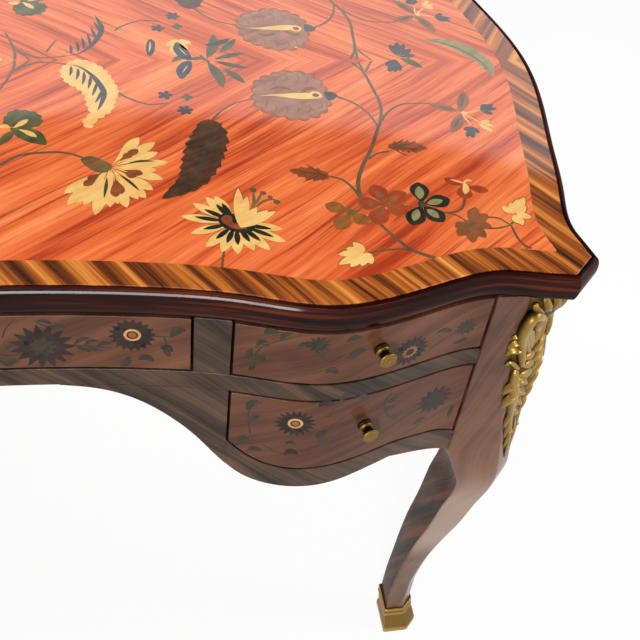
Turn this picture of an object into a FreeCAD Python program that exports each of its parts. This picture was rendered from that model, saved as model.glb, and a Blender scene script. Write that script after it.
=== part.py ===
import FreeCAD, Part
import math
import os

# A serpentine writing table on four cabriole legs: a marquetry top with a thick rounded
# edge, a drawer over the kneehole, two drawers one above the other on each side of it, and
# cast brass mounts on the corners. X runs along the width, Y to the back, Z up, and the
# origin is on the floor under the middle of the table.

doc = FreeCAD.newDocument("WritingTable")
sheet = doc.addObject("Spreadsheet::Sheet", "Sizes")

# Driving sizes in millimetres
sizes = {
    # plan of the top, measured on the line where banding and edge moulding meet
    "ear_half_width": 611, "ear_half_depth": 372, "corner_cant": 24, "corner_straight": 24,
    "front_setback": 20, "front_bulge": 44, "side_hollow": 7, "side_bulge": 51,
    # top, from the floor to its surface, and its layers
    "table_height": 775, "edge_height": 30, "edge_overhang": 9, "edge_nose": 6,
    "edge_groove": 2, "veneer": 1.5, "banding_width": 30,
    # front frame
    "face_offset": 6, "frame_depth": 22, "drawer_gap": 1.5, "seat_gap": 0.3,
    "centre_half_width": 229.5, "stile_width": 33.5, "post_width": 89.5, "post_setback": 9.5,
    "upper_row_height": 73.5, "rail_height": 22.5, "lower_drawer_side": 78.5,
    "lower_drawer_drop": 34.5, "apron_band": 31, "arch_half_width": 105,
    # pillars, boards and rails inside
    "board": 10, "wall": 16, "kicker_height": 12, "kicker_depth": 40,
    "panel": 20, "side_arch": 42, "guide": 14, "guide_inset": 1, "block": 36,
    # drawers
    "front_thickness": 20, "side_thickness": 10, "bottom_thickness": 6,
    "drawer_length": 520, "lower_box_height": 56, "lip": 2,
    # legs, given on the diagonal through a corner
    "knee_height": 440, "ankle_height": 106, "ankle_inset": 58, "post_inset": 28,
    "knee_width": 70, "ankle_width": 38, "foot_width": 46, "foot_reach": 16,
    "bracket_width": 20, "knee_cant": 12, "ankle_cant": 7,
    # brass
    "knob_length": 18, "knob_head_radius": 9, "knob_neck_radius": 5.2, "knob_rose_radius": 7.6,
    "knob_rose": 4, "knob_shank_radius": 3, "knob_sidestep": 10, "knob_rise": 6,
    "mount_drop": 277, "mount_relief": 13,
    "mount_wing": 4, "sabot_height": 52, "sabot_wall": 3, "sabot_sole": 5,
    # how far every cutting body runs past what it cuts
    "overrun": 60,
}

for row, (alias, value) in enumerate(sizes.items(), start=1):
    sheet.set("A%d" % row, alias)
    sheet.set("B%d" % row, str(value))
    sheet.setAlias("B%d" % row, alias)
doc.recompute()


def size(expression):
    # value of a sum of sheet sizes, such as "table_height - edge_height"
    return float(sheet.evalExpression(expression))


def bound(thing, **expressions):
    # ties properties to the sheet; a double underscore stands for a dot
    for name, expression in expressions.items():
        words = [("Sizes." + word if word in sizes else word) for word in expression.split()]
        thing.setExpression(name.replace("__", "."), " ".join(words))
    return thing


def label(thing, name):
    thing.Label = name
    nodes[name] = thing
    return thing


nodes = {}

# Levels and places that several pieces share
frame_top = "table_height - edge_height"
row_floor = frame_top + " - upper_row_height"
rail_floor = row_floor + " - rail_height"
board_floor = rail_floor + " - lower_drawer_side"
pillar_start = "centre_half_width + stile_width"
post_offset = "( face_offset - post_setback )"
pillar_end = "ear_half_width + " + post_offset + " - post_width"
post_back = "ear_half_depth + " + post_offset + " - post_width"
wall_inner = pillar_start + " - wall - drawer_gap"
kicker_start = "- ( ear_half_depth - front_setback + face_offset - front_thickness - drawer_gap )"

# Plan of the top: shares along half of an edge, from its middle to its corner, and how far
# the edge stands out there as a share of its bulge
front_run_shares = (0, 0.35, 0.455, 0.596, 0.71, 0.81, 0.874, 1)
front_rise_shares = (0, 0.30, 0.56, 1, 0.77, 0.36, 0.2, 0.45)
side_run_shares = (0, 0.30, 0.49, 0.70, 0.90, 1)
side_rise_shares = (1, 0.76, 0.49, 0.20, 0, 0.137)
nose_steps = 6

up = FreeCAD.Vector(0, 0, 1)


def rightward(direction):
    return FreeCAD.Vector(direction.y, -direction.x, 0)


def arc_from(start, leaving, end):
    # middle and end of the arc that leaves a point in a direction, each with the way to its right
    chord = end - start
    half = math.atan2(leaving.cross(chord).z, leaving.dot(chord))
    middle = (start + end) / 2 + rightward(chord) * math.tan(half / 2) / 2
    arriving = FreeCAD.Rotation(up, math.degrees(2 * half)).multVec(leaving)
    return [(middle, rightward(chord).normalize()), (end, rightward(arriving))]


def two_arcs(start, leaving, end, arriving):
    # two arcs that meet smoothly, from one point and direction to the next
    chord = end - start
    along = chord.dot(leaving + arriving)
    spread = 2 * (1 - leaving.dot(arriving))
    reach = chord.dot(chord) / (along + math.sqrt(along * along + spread * chord.dot(chord)))
    joint = (start + end + (leaving - arriving) * reach) / 2
    first = arc_from(start, leaving, joint)
    onward = first[-1][1]
    return first + arc_from(joint, FreeCAD.Vector(-onward.y, onward.x, 0), end)


def arc_stations(points, tangents=None):
    # a smooth row of arcs through points: their ends and middles in turn, each with the way to
    # its right, in the directions that a spline through the points has
    spline = Part.BSplineCurve()
    if tangents:
        spline.interpolate(Points=points, InitialTangent=tangents[0], FinalTangent=tangents[1])
    else:
        spline.interpolate(Points=points)
    ways = [spline.tangent(spline.parameter(point))[0] for point in points]
    stations = [(points[0], rightward(ways[0]))]
    for start, end, leaving, arriving in zip(points, points[1:], ways, ways[1:]):
        stations += two_arcs(start, leaving, end, arriving)
    return stations


def arcs(points):
    # arcs over the ends and middles of a smooth row
    return [Part.Arc(a, b, c) for a, b, c in zip(points[::2], points[1::2], points[2::2])]


def edge_stations(front):
    # half of the front edge, or of the right side, from its middle to the straight run before
    # its corner, then the corner itself with its mitre
    if front:
        run = size("ear_half_width - corner_cant")
        middle = size("ear_half_depth - front_setback")
        bulge = size("front_bulge")
        points = [FreeCAD.Vector(run * along, -middle - bulge * rise, 0)
                  for along, rise in zip(front_run_shares, front_rise_shares)]
        start = FreeCAD.Vector(run, 0, 0)
    else:
        run = size("ear_half_depth - corner_cant")
        middle = size("ear_half_width - side_hollow")
        bulge = size("side_bulge")
        points = [FreeCAD.Vector(middle + bulge * rise, -run * along, 0)
                  for along, rise in zip(side_run_shares, side_rise_shares)]
        start = FreeCAD.Vector(0, -run, 0)
    corner = points[-1]
    ending = (points[-1] - points[-2]).normalize()
    points[-1] = corner - ending * size("corner_straight")
    turn = 1 if front else -1
    stations = [(point, way * turn) for point, way in arc_stations(points, (start, ending * run))]
    cant = FreeCAD.Vector(1, -1, 0).normalize()
    normal = stations[-1][1]
    stations.append((corner, (normal + cant) / (1 + normal.dot(cant))))
    return stations


edges_from_middle = {True: edge_stations(True), False: edge_stations(False)}


def half_edge(front, offset):
    # points of half an edge moved outward
    return [point + normal * offset for point, normal in edges_from_middle[front]]


def whole_edge(front, offset, flip):
    # one of the four edges, in anticlockwise order round the plan
    half = half_edge(front, offset)
    if front:
        row = [FreeCAD.Vector(-p.x, p.y, 0) for p in half[:0:-1]] + half
    else:
        row = half[:0:-1] + [FreeCAD.Vector(p.x, -p.y, 0) for p in half]
    return [p * flip for p in row]


def along_edge(row):
    # curves of a whole edge: its arcs and the straight run at each end
    return [Part.LineSegment(row[0], row[1])] + arcs(row[1:-1]) + [Part.LineSegment(row[-2], row[-1])]


def plan_curves(offset, level):
    # closed outline of the plan: four curved edges joined by four straight cants
    rows = [whole_edge(True, offset, 1), whole_edge(False, offset, 1)]
    rows += [whole_edge(True, offset, -1), whole_edge(False, offset, -1)]
    rows = [[p + up * level for p in row] for row in rows]
    curves = []
    for row, following in zip(rows, rows[1:] + rows[:1]):
        curves += along_edge(row)
        curves.append(Part.LineSegment(row[-1], following[0]))
    return curves


def wire(curves):
    return Part.Wire([curve.toShape() for curve in curves])


def ring_face(first, second):
    # face between two rows of an edge, joined by straight ends
    curves = along_edge(first) + [Part.LineSegment(first[-1], second[0])]
    curves += along_edge(second) + [Part.LineSegment(second[-1], first[0])]
    return Part.Face(wire(curves))


def strip(front, outer, inner):
    # plan of a bent board: the band between two offsets of an edge, up to its corner mitres
    return ring_face(whole_edge(front, outer, 1), whole_edge(front, inner, 1)[::-1])


def extrusion(name, face, direction, length):
    # prism over a face, as long as a sum of sheet sizes
    base = doc.addObject("Part::Feature", name + "_outline")
    base.Shape = face
    prism = doc.addObject("Part::Extrusion", name)
    prism.Base = base
    prism.DirMode = "Custom"
    prism.Dir = direction
    prism.Solid = True
    return bound(prism, LengthFwd=length)


def elevation(name, edges):
    # prism through the whole depth of the table over an outline drawn in X and Z
    face = Part.Face(Part.Wire(Part.__sortEdges__(edges)))
    face.translate(FreeCAD.Vector(0, -size("ear_half_depth + front_bulge + overrun"), 0))
    length = "2 * ( ear_half_depth + front_bulge + overrun )"
    return extrusion(name, face, FreeCAD.Vector(0, 1, 0), length)


def rectangle(low_x, high_x, low_z, high_z):
    corners = [(low_x, low_z), (high_x, low_z), (high_x, high_z), (low_x, high_z)]
    points = [FreeCAD.Vector(x, 0, z) for x, z in corners]
    return [Part.makeLine(a, b) for a, b in zip(points, points[1:] + points[:1])]


def chain(points):
    # straight edges through points given as X and Z
    places = [FreeCAD.Vector(x, 0, z) for x, z in points]
    return [Part.makeLine(a, b) for a, b in zip(places, places[1:])]


def curve_through(points):
    # smooth row of arcs through points given as X and Z
    row = arc_stations([FreeCAD.Vector(x, z, 0) for x, z in points])
    return [arc.toShape() for arc in arcs([FreeCAD.Vector(p.x, 0, p.y) for p, way in row])]


def common(name, first, second):
    piece = doc.addObject("Part::Common", name)
    piece.Base = first
    piece.Tool = second
    return label(piece, name)


def cut(name, base, tool):
    piece = doc.addObject("Part::Cut", name)
    piece.Base = base
    piece.Tool = tool
    return label(piece, name)


def mirrored(source, name, across):
    # the same piece on the other side of the middle plane that the vector is normal to
    twin = doc.addObject("Part::Mirroring", name)
    twin.Source = source
    twin.Normal = across
    return label(twin, name)


def box(name, length, width, height, x, y, z):
    # board whose sizes and place are sums of sheet sizes
    board = doc.addObject("Part::Box", name)
    return bound(board, Length=length, Width=width, Height=height,
                 Placement__Base__x=x, Placement__Base__y=y, Placement__Base__z=z)


across_x = FreeCAD.Vector(1, 0, 0)
across_y = FreeCAD.Vector(0, 1, 0)


# Top

def plane_of(body, role):
    return [part for part in body.Origin.OriginFeatures if part.Role == role][0]


def padded_plan(name, rings, level, thickness):
    # body padded from one or two outlines of the plan
    body = doc.addObject("PartDesign::Body", name)
    sketch = body.newObject("Sketcher::SketchObject", name + "_plan")
    sketch.AttachmentSupport = (plane_of(body, "XY_Plane"), [""])
    sketch.MapMode = "FlatFace"
    bound(sketch, AttachmentOffset__Base__z=level)
    for offset in rings:
        sketch.addGeometry(plan_curves(offset, 0), False)
    pad = body.newObject("PartDesign::Pad", name + "_pad")
    pad.Profile = sketch
    bound(pad, Length=thickness)
    return label(body, name)


def loft(name, wires, ruled=False):
    sections = []
    for index, wire in enumerate(wires):
        section = doc.addObject("Part::Feature", "%s_section_%d" % (name, index))
        section.Shape = wire
        sections.append(section)
    body = doc.addObject("Part::Loft", name)
    body.Sections = sections
    body.Solid = True
    body.Ruled = ruled
    return body


def make_top():
    padded_plan("top_board", [0], frame_top, "edge_height - veneer")
    padded_plan("top_field_veneer", [-size("banding_width")], "table_height - veneer", "veneer")
    padded_plan("top_crossbanding", [0, -size("banding_width")], "table_height - veneer", "veneer")
    # the edge moulding: outlines that follow half an ellipse, less the board inside it
    half = size("edge_height / 2")
    wires = []
    for step in range(nose_steps + 1):
        angle = math.pi * (step / nose_steps - 0.5)
        offset = size("edge_overhang") - size("edge_nose") * (1 - math.cos(angle))
        level = size(frame_top) + half * (1 + math.sin(angle))
        wires.append(wire(plan_curves(offset, level)))
    nose = loft("edge_nose", wires, True)
    board = Part.Face(wire(plan_curves(0, size(frame_top) - size("overrun"))))
    inner = extrusion("edge_inside", board, up, "table_height")
    groove = Part.Face(wire(plan_curves(size("edge_groove"), size("table_height") - size("edge_groove") / 2)))
    quirk = extrusion("edge_quirk", groove, up, "edge_groove")
    ring = doc.addObject("Part::Cut", "edge_ring")
    ring.Base = nose
    ring.Tool = inner
    cut("top_edge_moulding", ring, quirk)


# Front frame and back

# Lower edge of the front in two parts, over the kneehole and under the drawers: shares of
# that part's run, and of the drop from the rail to the lowest point of the apron
arch_shares = ((0, 0), (0.209114, 0.035), (0.457437, 0.15), (0.627342, 0.3), (0.810316, 0.525),
    (0.927943, 0.71))
apron_shares = ((0.016898, 0.845), (0.076824, 0.935), (0.149706, 0.985), (0.311667, 1),
    (0.465529, 0.97), (0.595098, 0.915), (0.700373, 0.875))
side_arch_shares = ((-1, 0), (-0.86, 0.45), (-0.55, 0.85), (0, 1), (0.55, 0.85), (0.86, 0.45), (1, 0))
# The bottom of the lower drawer follows it, a band higher: shares of the drawer's width,
# and of its extra drop below its left side
sweep_run_shares = (0, 0.08, 0.165, 0.25, 0.34, 0.46, 0.58, 0.71, 0.82, 0.90, 1)
sweep_drop_shares = (0, 0.58, 0.90, 1, 0.98, 0.885, 0.76, 0.665, 0.75, 0.81, 1)


def apron_edge():
    # lower edge of the front from the kneehole's arch to the foot of the pillar
    start = size("arch_half_width")
    middle = size(pillar_start)
    end = size(pillar_end)
    top = size(rail_floor)
    drop = size("lower_drawer_side + lower_drawer_drop + apron_band")
    return ([(start + (middle - start) * along, top - drop * fall) for along, fall in arch_shares]
            + [(middle + (end - middle) * along, top - drop * fall) for along, fall in apron_shares])


def sweep_edge(gap):
    # bottom edge of the lower drawer's opening, or of the drawer front when a gap is given
    start = size(pillar_start)
    run = size(pillar_end) - start
    top = size(rail_floor + " - lower_drawer_side")
    drop = size("lower_drawer_drop")
    return [(start + run * along, top - drop * fall + gap)
            for along, fall in zip(sweep_run_shares, sweep_drop_shares)]


def clipped(points, low, high):
    # points of an outline between two places, with the ends worked out on its chords
    row = []
    for (x0, z0), (x1, z1) in zip(points, points[1:]):
        for cut_at in (low, high):
            if x0 < cut_at < x1:
                row.append((cut_at, z0 + (z1 - z0) * (cut_at - x0) / (x1 - x0)))
        if low <= x1 <= high:
            row.append((x1, z1))
    if low <= points[0][0]:
        row.insert(0, points[0])
    return sorted(row)


def make_front_frame():
    face = size("face_offset")
    depth = size("frame_depth")
    slab = extrusion("front_slab", strip(True, face, face - depth), up, frame_top)
    top = size(frame_top)
    row = size(row_floor)
    rail = size(rail_floor)
    inner = size("centre_half_width")
    start = size(pillar_start)
    end = size(pillar_end)
    lower = apron_edge()
    corner = (end, lower[-1][1] - size("bracket_width"))
    reach = size("arch_half_width")
    common("front_rail", slab, elevation("front_rail_cut", rectangle(-end, end, rail, row)))
    stile = elevation("front_stile_cut", rectangle(inner, start, row, top))
    bracket_line = clipped(lower, reach, start)
    bracket = curve_through(bracket_line)
    bracket += chain([bracket_line[-1], (start, rail), bracket_line[0]])
    apron_line = clipped(lower, start, end) + [corner]
    sweep = sweep_edge(0)
    apron = curve_through(apron_line) + curve_through(sweep)
    apron += chain([apron_line[0], sweep[0]]) + chain([apron_line[-1], sweep[-1]])
    pieces = {"front_stile": stile, "front_bracket": elevation("front_bracket_cut", bracket),
              "front_apron": elevation("front_apron_cut", apron)}
    for name, shape in pieces.items():
        right = common(name + "_right", slab, shape)
        mirrored(right, name + "_left", across_x)
    back_slab = extrusion("back_slab", strip(True, face, face - size("panel")), up, frame_top)
    frieze = doc.addObject("Part::Common", "back_frieze_front")
    frieze.Base = back_slab
    frieze.Tool = elevation("back_frieze_cut", rectangle(-end, end, rail, top))
    mirrored(frieze, "back_frieze", across_y)
    line = lower + [corner]
    flank = curve_through(line) + chain([line[-1], (end, rail), line[0]])
    flank_front = doc.addObject("Part::Common", "back_flank_front")
    flank_front.Base = back_slab
    flank_front.Tool = elevation("back_flank_cut", flank)
    right = mirrored(flank_front, "back_flank_right", across_y)
    mirrored(right, "back_flank_left", across_x)


def make_sides():
    # bent side panels between the posts, their lower edge a long shallow arch
    face = size("face_offset")
    slab = extrusion("side_slab", strip(False, face, face - size("panel")), up, frame_top)
    half = size(post_back)
    low = apron_edge()[-1][1] - size("bracket_width")
    arch = size("side_arch")
    line = [FreeCAD.Vector(half * along, low + arch * rise, 0) for along, rise in side_arch_shares]
    bottom = [FreeCAD.Vector(0, point.x, point.y) for point, way in arc_stations(line)]
    top = size(frame_top)
    corners = [bottom[-1], FreeCAD.Vector(0, half, top), FreeCAD.Vector(0, -half, top), bottom[0]]
    outline = Part.Face(wire(arcs(bottom) + [Part.LineSegment(a, b) for a, b in zip(corners, corners[1:])]))
    profile = extrusion("side_profile", outline, across_x, "ear_half_width + side_bulge + overrun")
    right = common("side_panel_right", slab, profile)
    mirrored(right, "side_panel_left", across_x)


# Legs

# Stations of a leg: share of the way down from the frame to the knee, share of the post's
# inset on the diagonal, and share of the way from the knee's width to the post's
post_shares = ((0, 1, 1), (0.19, 1, 1), (0.32, 0.79, 1), (0.48, 0.57, 1), (0.64, 0.5, 1), (0.77, 0.29, 1),
               (0.8, 0.25, 1), (0.855, 0.18, 0.66), (0.92, 0.08, 0.36), (1, 0, 0))
# Then from the knee to the ankle, and from the ankle to the sole
shin_shares = ((0.21, 0.21, 0.2), (0.36, 0.37, 0.36), (0.56, 0.64, 0.6), (0.72, 0.82, 0.8), (0.86, 0.93, 0.93),
               (1, 1, 1))
foot_shares = ((0.42, 0.04, 0.02), (0.7, 0.3, 0.3), (0.88, 0.85, 0.8), (1, 1, 1))
leg_levels = 34
shoe_levels = 3


def leg_stations():
    # height, inset of the corner's face, half width of that face, side of the square
    top = size(frame_top)
    knee = size("knee_height")
    ankle = size("ankle_height")
    post = size("post_width")
    knee_width = size("knee_width")
    ankle_width = size("ankle_width")
    knee_cant = size("knee_cant")
    rows = []
    for fall, inset, spread in post_shares:
        away = size("post_inset") * inset
        flush = size(post_offset + " + corner_cant / 2") + away / math.sqrt(2)
        cant = knee_cant + (flush - knee_cant) * spread
        rows.append((top + (knee - top) * fall, away, cant, knee_width + (post - knee_width) * spread))
    for fall, inset, slim in shin_shares:
        cant = knee_cant + (size("ankle_cant") - knee_cant) * slim
        width = knee_width + (ankle_width - knee_width) * slim
        rows.append((knee + (ankle - knee) * fall, size("ankle_inset") * inset, cant, width))
    for fall, reach, spread in foot_shares:
        away = size("ankle_inset") - size("foot_reach") * reach
        width = ankle_width + (size("foot_width") - ankle_width) * spread
        rows.append((ankle + (size("sabot_sole") - ankle) * fall, away, size("ankle_cant"), width))
    return rows


def slope_at(rows, index, column):
    # slope of a column at a station, flat where the column turns, so that nothing overshoots
    if index in (0, len(rows) - 1):
        return 0
    before, here, after = rows[index - 1:index + 2]
    first = (here[column] - before[column]) / (here[0] - before[0])
    second = (after[column] - here[column]) / (after[0] - here[0])
    if first * second <= 0:
        return 0
    return 2 * first * second / (first + second)


def leg_at(height):
    # the leg's row of values at any height, on smooth curves through the stations
    rows = leg_stations()
    height = min(max(height, rows[-1][0]), rows[0][0])
    index = max(i for i in range(len(rows) - 1) if rows[i][0] >= height)
    upper, lower = rows[index], rows[index + 1]
    span = lower[0] - upper[0]
    way = (height - upper[0]) / span
    row = [height]
    for column in (1, 2, 3):
        start, end = upper[column], lower[column]
        leaving = slope_at(rows, index, column) * span
        arriving = slope_at(rows, index + 1, column) * span
        bend = way * way * (3 - 2 * way)
        row.append(start + (end - start) * bend + way * (1 - way) * ((1 - way) * leaving - way * arriving))
    return row


def leg_section(row, grow=0):
    # square with its outer corner cut off, grown outward on every side
    height, inset, cant, width = row
    x = size("ear_half_width - corner_cant / 2") - inset / math.sqrt(2)
    y = -size("ear_half_depth - corner_cant / 2") + inset / math.sqrt(2)
    side = x + cant + grow
    front = y - cant - grow
    inner = x + cant - width - grow
    back = y - cant + width + grow
    spare = grow * (2 - math.sqrt(2))
    corners = [(inner, front), (side - 2 * cant - spare, front), (side, front + 2 * cant + spare),
               (side, back), (inner, back)]
    points = [FreeCAD.Vector(x, y, height) for x, y in corners]
    return Part.makePolygon(points + points[:1])


def four_corners(piece, name):
    # names the front right piece and mirrors it to the other three corners
    right = label(piece, name + "_front_right")
    mirrored(right, name + "_front_left", across_x)
    back = mirrored(right, name + "_back_right", across_y)
    mirrored(back, name + "_back_left", across_x)


def make_legs():
    top = size(frame_top)
    step = (top - size("sabot_sole")) / leg_levels
    leg = loft("leg", [leg_section(leg_at(top - step * index)) for index in range(leg_levels + 1)], True)
    four_corners(leg, "leg")
    return leg


# Brass mounts

# Stations of a corner mount: share of its drop, share of its relief, and how much of the
# width of the corner's face it covers
mount_shares = ((0, 0.55, 0.74), (0.06, 1, 0.78), (0.14, 1, 0.76), (0.22, 0.6, 0.7), (0.3, 1, 0.78),
                (0.4, 0.95, 0.74), (0.52, 0.75, 0.64), (0.66, 0.6, 0.58), (0.82, 0.5, 0.5), (1, 0.2, 0.28))


def mount_section(share, relief, cover):
    # bowed strip across the corner's face, its back sunk into the post that it is cut from
    height = size(frame_top) - size("drawer_gap") - size("mount_drop") * share
    inset, cant = leg_at(height)[1:3]
    x = size("ear_half_width - corner_cant / 2") - inset / math.sqrt(2)
    y = -size("ear_half_depth - corner_cant / 2") + inset / math.sqrt(2)
    rise = size("mount_relief") * relief / math.sqrt(2)
    wing = size("mount_wing") / math.sqrt(2)
    sink = size("mount_relief")
    reach = cant * cover
    outline = [(-reach, wing), (-reach / 2, rise), (0, rise), (reach / 2, rise), (reach, wing),
               (reach / 2, -sink), (-reach / 2, -sink)]
    points = [FreeCAD.Vector(x + along + out, y + along - out, height) for along, out in outline]
    return Part.makePolygon(points + points[:1])


def make_brass(leg):
    blank = loft("mount_blank", [mount_section(*station) for station in mount_shares], True)
    mount = doc.addObject("Part::Cut", "corner_mount")
    mount.Base = blank
    mount.Tool = leg
    four_corners(mount, "corner_mount")
    # shoes round the feet, closed below by a sole
    height = size("sabot_height")
    grow = size("sabot_wall")
    wires = []
    for step in range(shoe_levels + 1):
        share = step / shoe_levels
        wires.append(leg_section(leg_at(height * (1 - share)), grow * (0.5 + share / 2)))
    lowest = leg_at(0)
    wires[-1] = leg_section([0] + lowest[1:], grow)
    shoe = loft("sabot_blank", wires, True)
    sabot = doc.addObject("Part::Cut", "sabot")
    sabot.Base = shoe
    sabot.Tool = leg
    four_corners(sabot, "sabot")


# Boards, guides and blocks inside

def between(name, ahead, behind_panel):
    # prism over the plan between an inner line of the front and one of the back
    plan = ring_face(whole_edge(True, ahead, 1), whole_edge(True, behind_panel, -1))
    return extrusion(name, plan, up, frame_top)


def fitted(name, region, length, height, x, z):
    # board through the depth of a region, trimmed to its bent front and back
    reach = "ear_half_depth + front_bulge"
    blank = box(name + "_blank", length, "2 * ( " + reach + " )", height, x, "- ( " + reach + " )", z)
    piece = doc.addObject("Part::Common", name)
    piece.Base = blank
    piece.Tool = region
    return piece


def pair(piece, name):
    mirrored(label(piece, name + "_right"), name + "_left", across_x)


def make_inside():
    face = size("face_offset")
    inside = between("inside", face - size("frame_depth"), face - size("panel"))
    wall_foot = board_floor + " - board"
    wall_height = frame_top + " - kicker_height - ( " + wall_foot + " )"
    pair(fitted("kneehole_wall", inside, "wall", wall_height, wall_inner, wall_foot), "kneehole_wall")
    centre = fitted("centre_dust_board", inside, "2 * ( " + wall_inner + " )", "board",
                    "- ( " + wall_inner + " )", row_floor + " - board")
    label(centre, "centre_dust_board")
    start = pillar_start + " - drawer_gap"
    width = pillar_end + " - ( " + start + " )"
    pair(fitted("upper_dust_board", inside, width, "board", start, row_floor + " - board"), "upper_dust_board")
    pair(fitted("lower_dust_board", inside, width, "board", start, board_floor + " - board"), "lower_dust_board")
    kicker = box("front_kicker_rail", "2 * ( " + pillar_end + " )", "kicker_depth", "kicker_height",
                 "- ( " + pillar_end + " )", kicker_start, frame_top + " - kicker_height")
    label(kicker, "front_kicker_rail")
    guides = []
    for name, level in (("upper", row_floor), ("lower", board_floor)):
        guide = box(name + "_guide", "guide", "2 * ( " + post_back + " )", "guide",
                    pillar_end + " - guide_inset", "- ( " + post_back + " )", level)
        twin = doc.addObject("Part::Mirroring", name + "_guide_left")
        twin.Source = guide
        twin.Normal = across_x
        guides += [guide, twin]
    group("drawer_guides", guides)
    block = box("block", "block", "block", "block", "ear_half_width - side_hollow + face_offset - panel - block",
                "- ( " + post_back + " )", frame_top + " - block")
    blocks = [block]
    for source, across in ((block, across_x), (block, across_y)):
        twin = doc.addObject("Part::Mirroring", "block_twin")
        twin.Source = source
        twin.Normal = across
        blocks.append(twin)
    last = doc.addObject("Part::Mirroring", "block_last")
    last.Source = blocks[-1]
    last.Normal = across_x
    group("corner_blocks", blocks + [last])


def group(name, pieces):
    # separate solids kept in one node
    compound = doc.addObject("Part::Compound", name)
    compound.Links = pieces
    return label(compound, name)


# Drawers

def face_place(x, offset):
    # point of the bent front at a distance from the middle, and the turn of its normal
    row = half_edge(True, offset)
    spans = list(zip(row[::2], arcs(row[:-1])))
    start, arc = (spans[:1] + [span for span in spans[1:] if span[0].x <= abs(x)])[-1]
    circle = arc.toShape().Curve
    away = abs(x) - circle.Center.x
    side = 1 if start.y > circle.Center.y else -1
    rise = side * math.sqrt(circle.Radius * circle.Radius - away * away)
    turn = math.degrees(math.atan2(-side * away, side * rise))
    hand = -1 if x < 0 else 1
    return FreeCAD.Vector(x, circle.Center.y + rise, 0), turn * hand


def revolved(name, profile):
    # body turned about the Y axis from radius and length pairs written in sheet sizes
    body = doc.addObject("PartDesign::Body", name)
    sketch = body.newObject("Sketcher::SketchObject", name + "_profile")
    sketch.AttachmentSupport = (plane_of(body, "XY_Plane"), [""])
    sketch.MapMode = "FlatFace"
    points = [FreeCAD.Vector(size(radius), -size(along), 0) for radius, along in profile]
    for a, b in zip(points, points[1:] + points[:1]):
        sketch.addGeometry(Part.LineSegment(a, b), False)
    turned = body.newObject("PartDesign::Revolution", name + "_turned")
    turned.Profile = sketch
    turned.ReferenceAxis = (sketch, ["V_Axis"])
    turned.Angle = 360
    return body


knob_profile = (
    ("0", "- front_thickness / 2"), ("knob_shank_radius", "- front_thickness / 2"),
    ("knob_shank_radius", "seat_gap"), ("knob_rose_radius", "seat_gap"),
    ("knob_rose_radius", "knob_rose"), ("knob_neck_radius", "knob_rose * 1.6"),
    ("knob_neck_radius", "knob_length * 0.5"), ("knob_head_radius", "knob_length * 0.82"),
    ("knob_head_radius", "knob_length * 0.96"), ("knob_head_radius * 0.9", "knob_length"),
    ("0", "knob_length * 0.94"))


def make_drawer(name, edges, low_x, high_x, box_floor, box_top, knob_x, knob_z):
    # low_x and high_x are the sides of the drawer front, box_floor and box_top the walls'
    front = doc.addObject("Part::Common", name + "_front_blank")
    front.Base = front_board
    front.Tool = elevation(name + "_front_cut", edges)
    point, turn = face_place(knob_x, size("face_offset"))
    place = FreeCAD.Placement(point + FreeCAD.Vector(0, 0, knob_z), FreeCAD.Rotation(up, turn))
    knob = revolved(name + "_knob", knob_profile)
    knob.Placement = place
    label(knob, name + "_knob")
    hole = doc.addObject("Part::Cylinder", name + "_knob_hole")
    bound(hole, Radius="knob_shank_radius + seat_gap", Height="2 * front_thickness")
    tip = FreeCAD.Rotation(FreeCAD.Vector(1, 0, 0), 90)
    middle = FreeCAD.Vector(0, size("front_thickness"), 0)
    hole.Placement = place.multiply(FreeCAD.Placement(middle, tip))
    cut(name + "_front", front, hole)
    wall = size("side_thickness")
    low, high = low_x + size("lip"), high_x - size("lip")
    parts = []
    for number, start in enumerate((low, high - wall)):
        blank = doc.addObject("Part::Box", "%s_side_%d_blank" % (name, number))
        bound(blank, Length="side_thickness", Width="drawer_length")
        parts.append((blank, start, back_of_box))
    back = doc.addObject("Part::Box", name + "_back")
    bound(back, Width="side_thickness")
    back.Length = high - low - 2 * wall
    parts.append((back, low + wall, back_of_box + size("drawer_length - side_thickness")))
    boards = []
    for blank, x, y in parts:
        blank.Height = box_top - box_floor
        blank.Placement = FreeCAD.Placement(FreeCAD.Vector(x, y, box_floor), FreeCAD.Rotation())
        boards.append(trimmed(blank))
    group(name + "_walls", boards)
    bottom = doc.addObject("Part::Box", name + "_bottom_blank")
    bottom.Length = high - low - 2 * wall
    bound(bottom, Width="drawer_length - side_thickness", Height="bottom_thickness")
    bottom.Placement = FreeCAD.Placement(FreeCAD.Vector(low + wall, back_of_box, box_floor + size("seat_gap")),
                                         FreeCAD.Rotation())
    label(trimmed(bottom), name + "_bottom")


def trimmed(blank):
    piece = doc.addObject("Part::Common", blank.Name + "_trimmed")
    piece.Base = blank
    piece.Tool = drawer_room
    return piece


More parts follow.
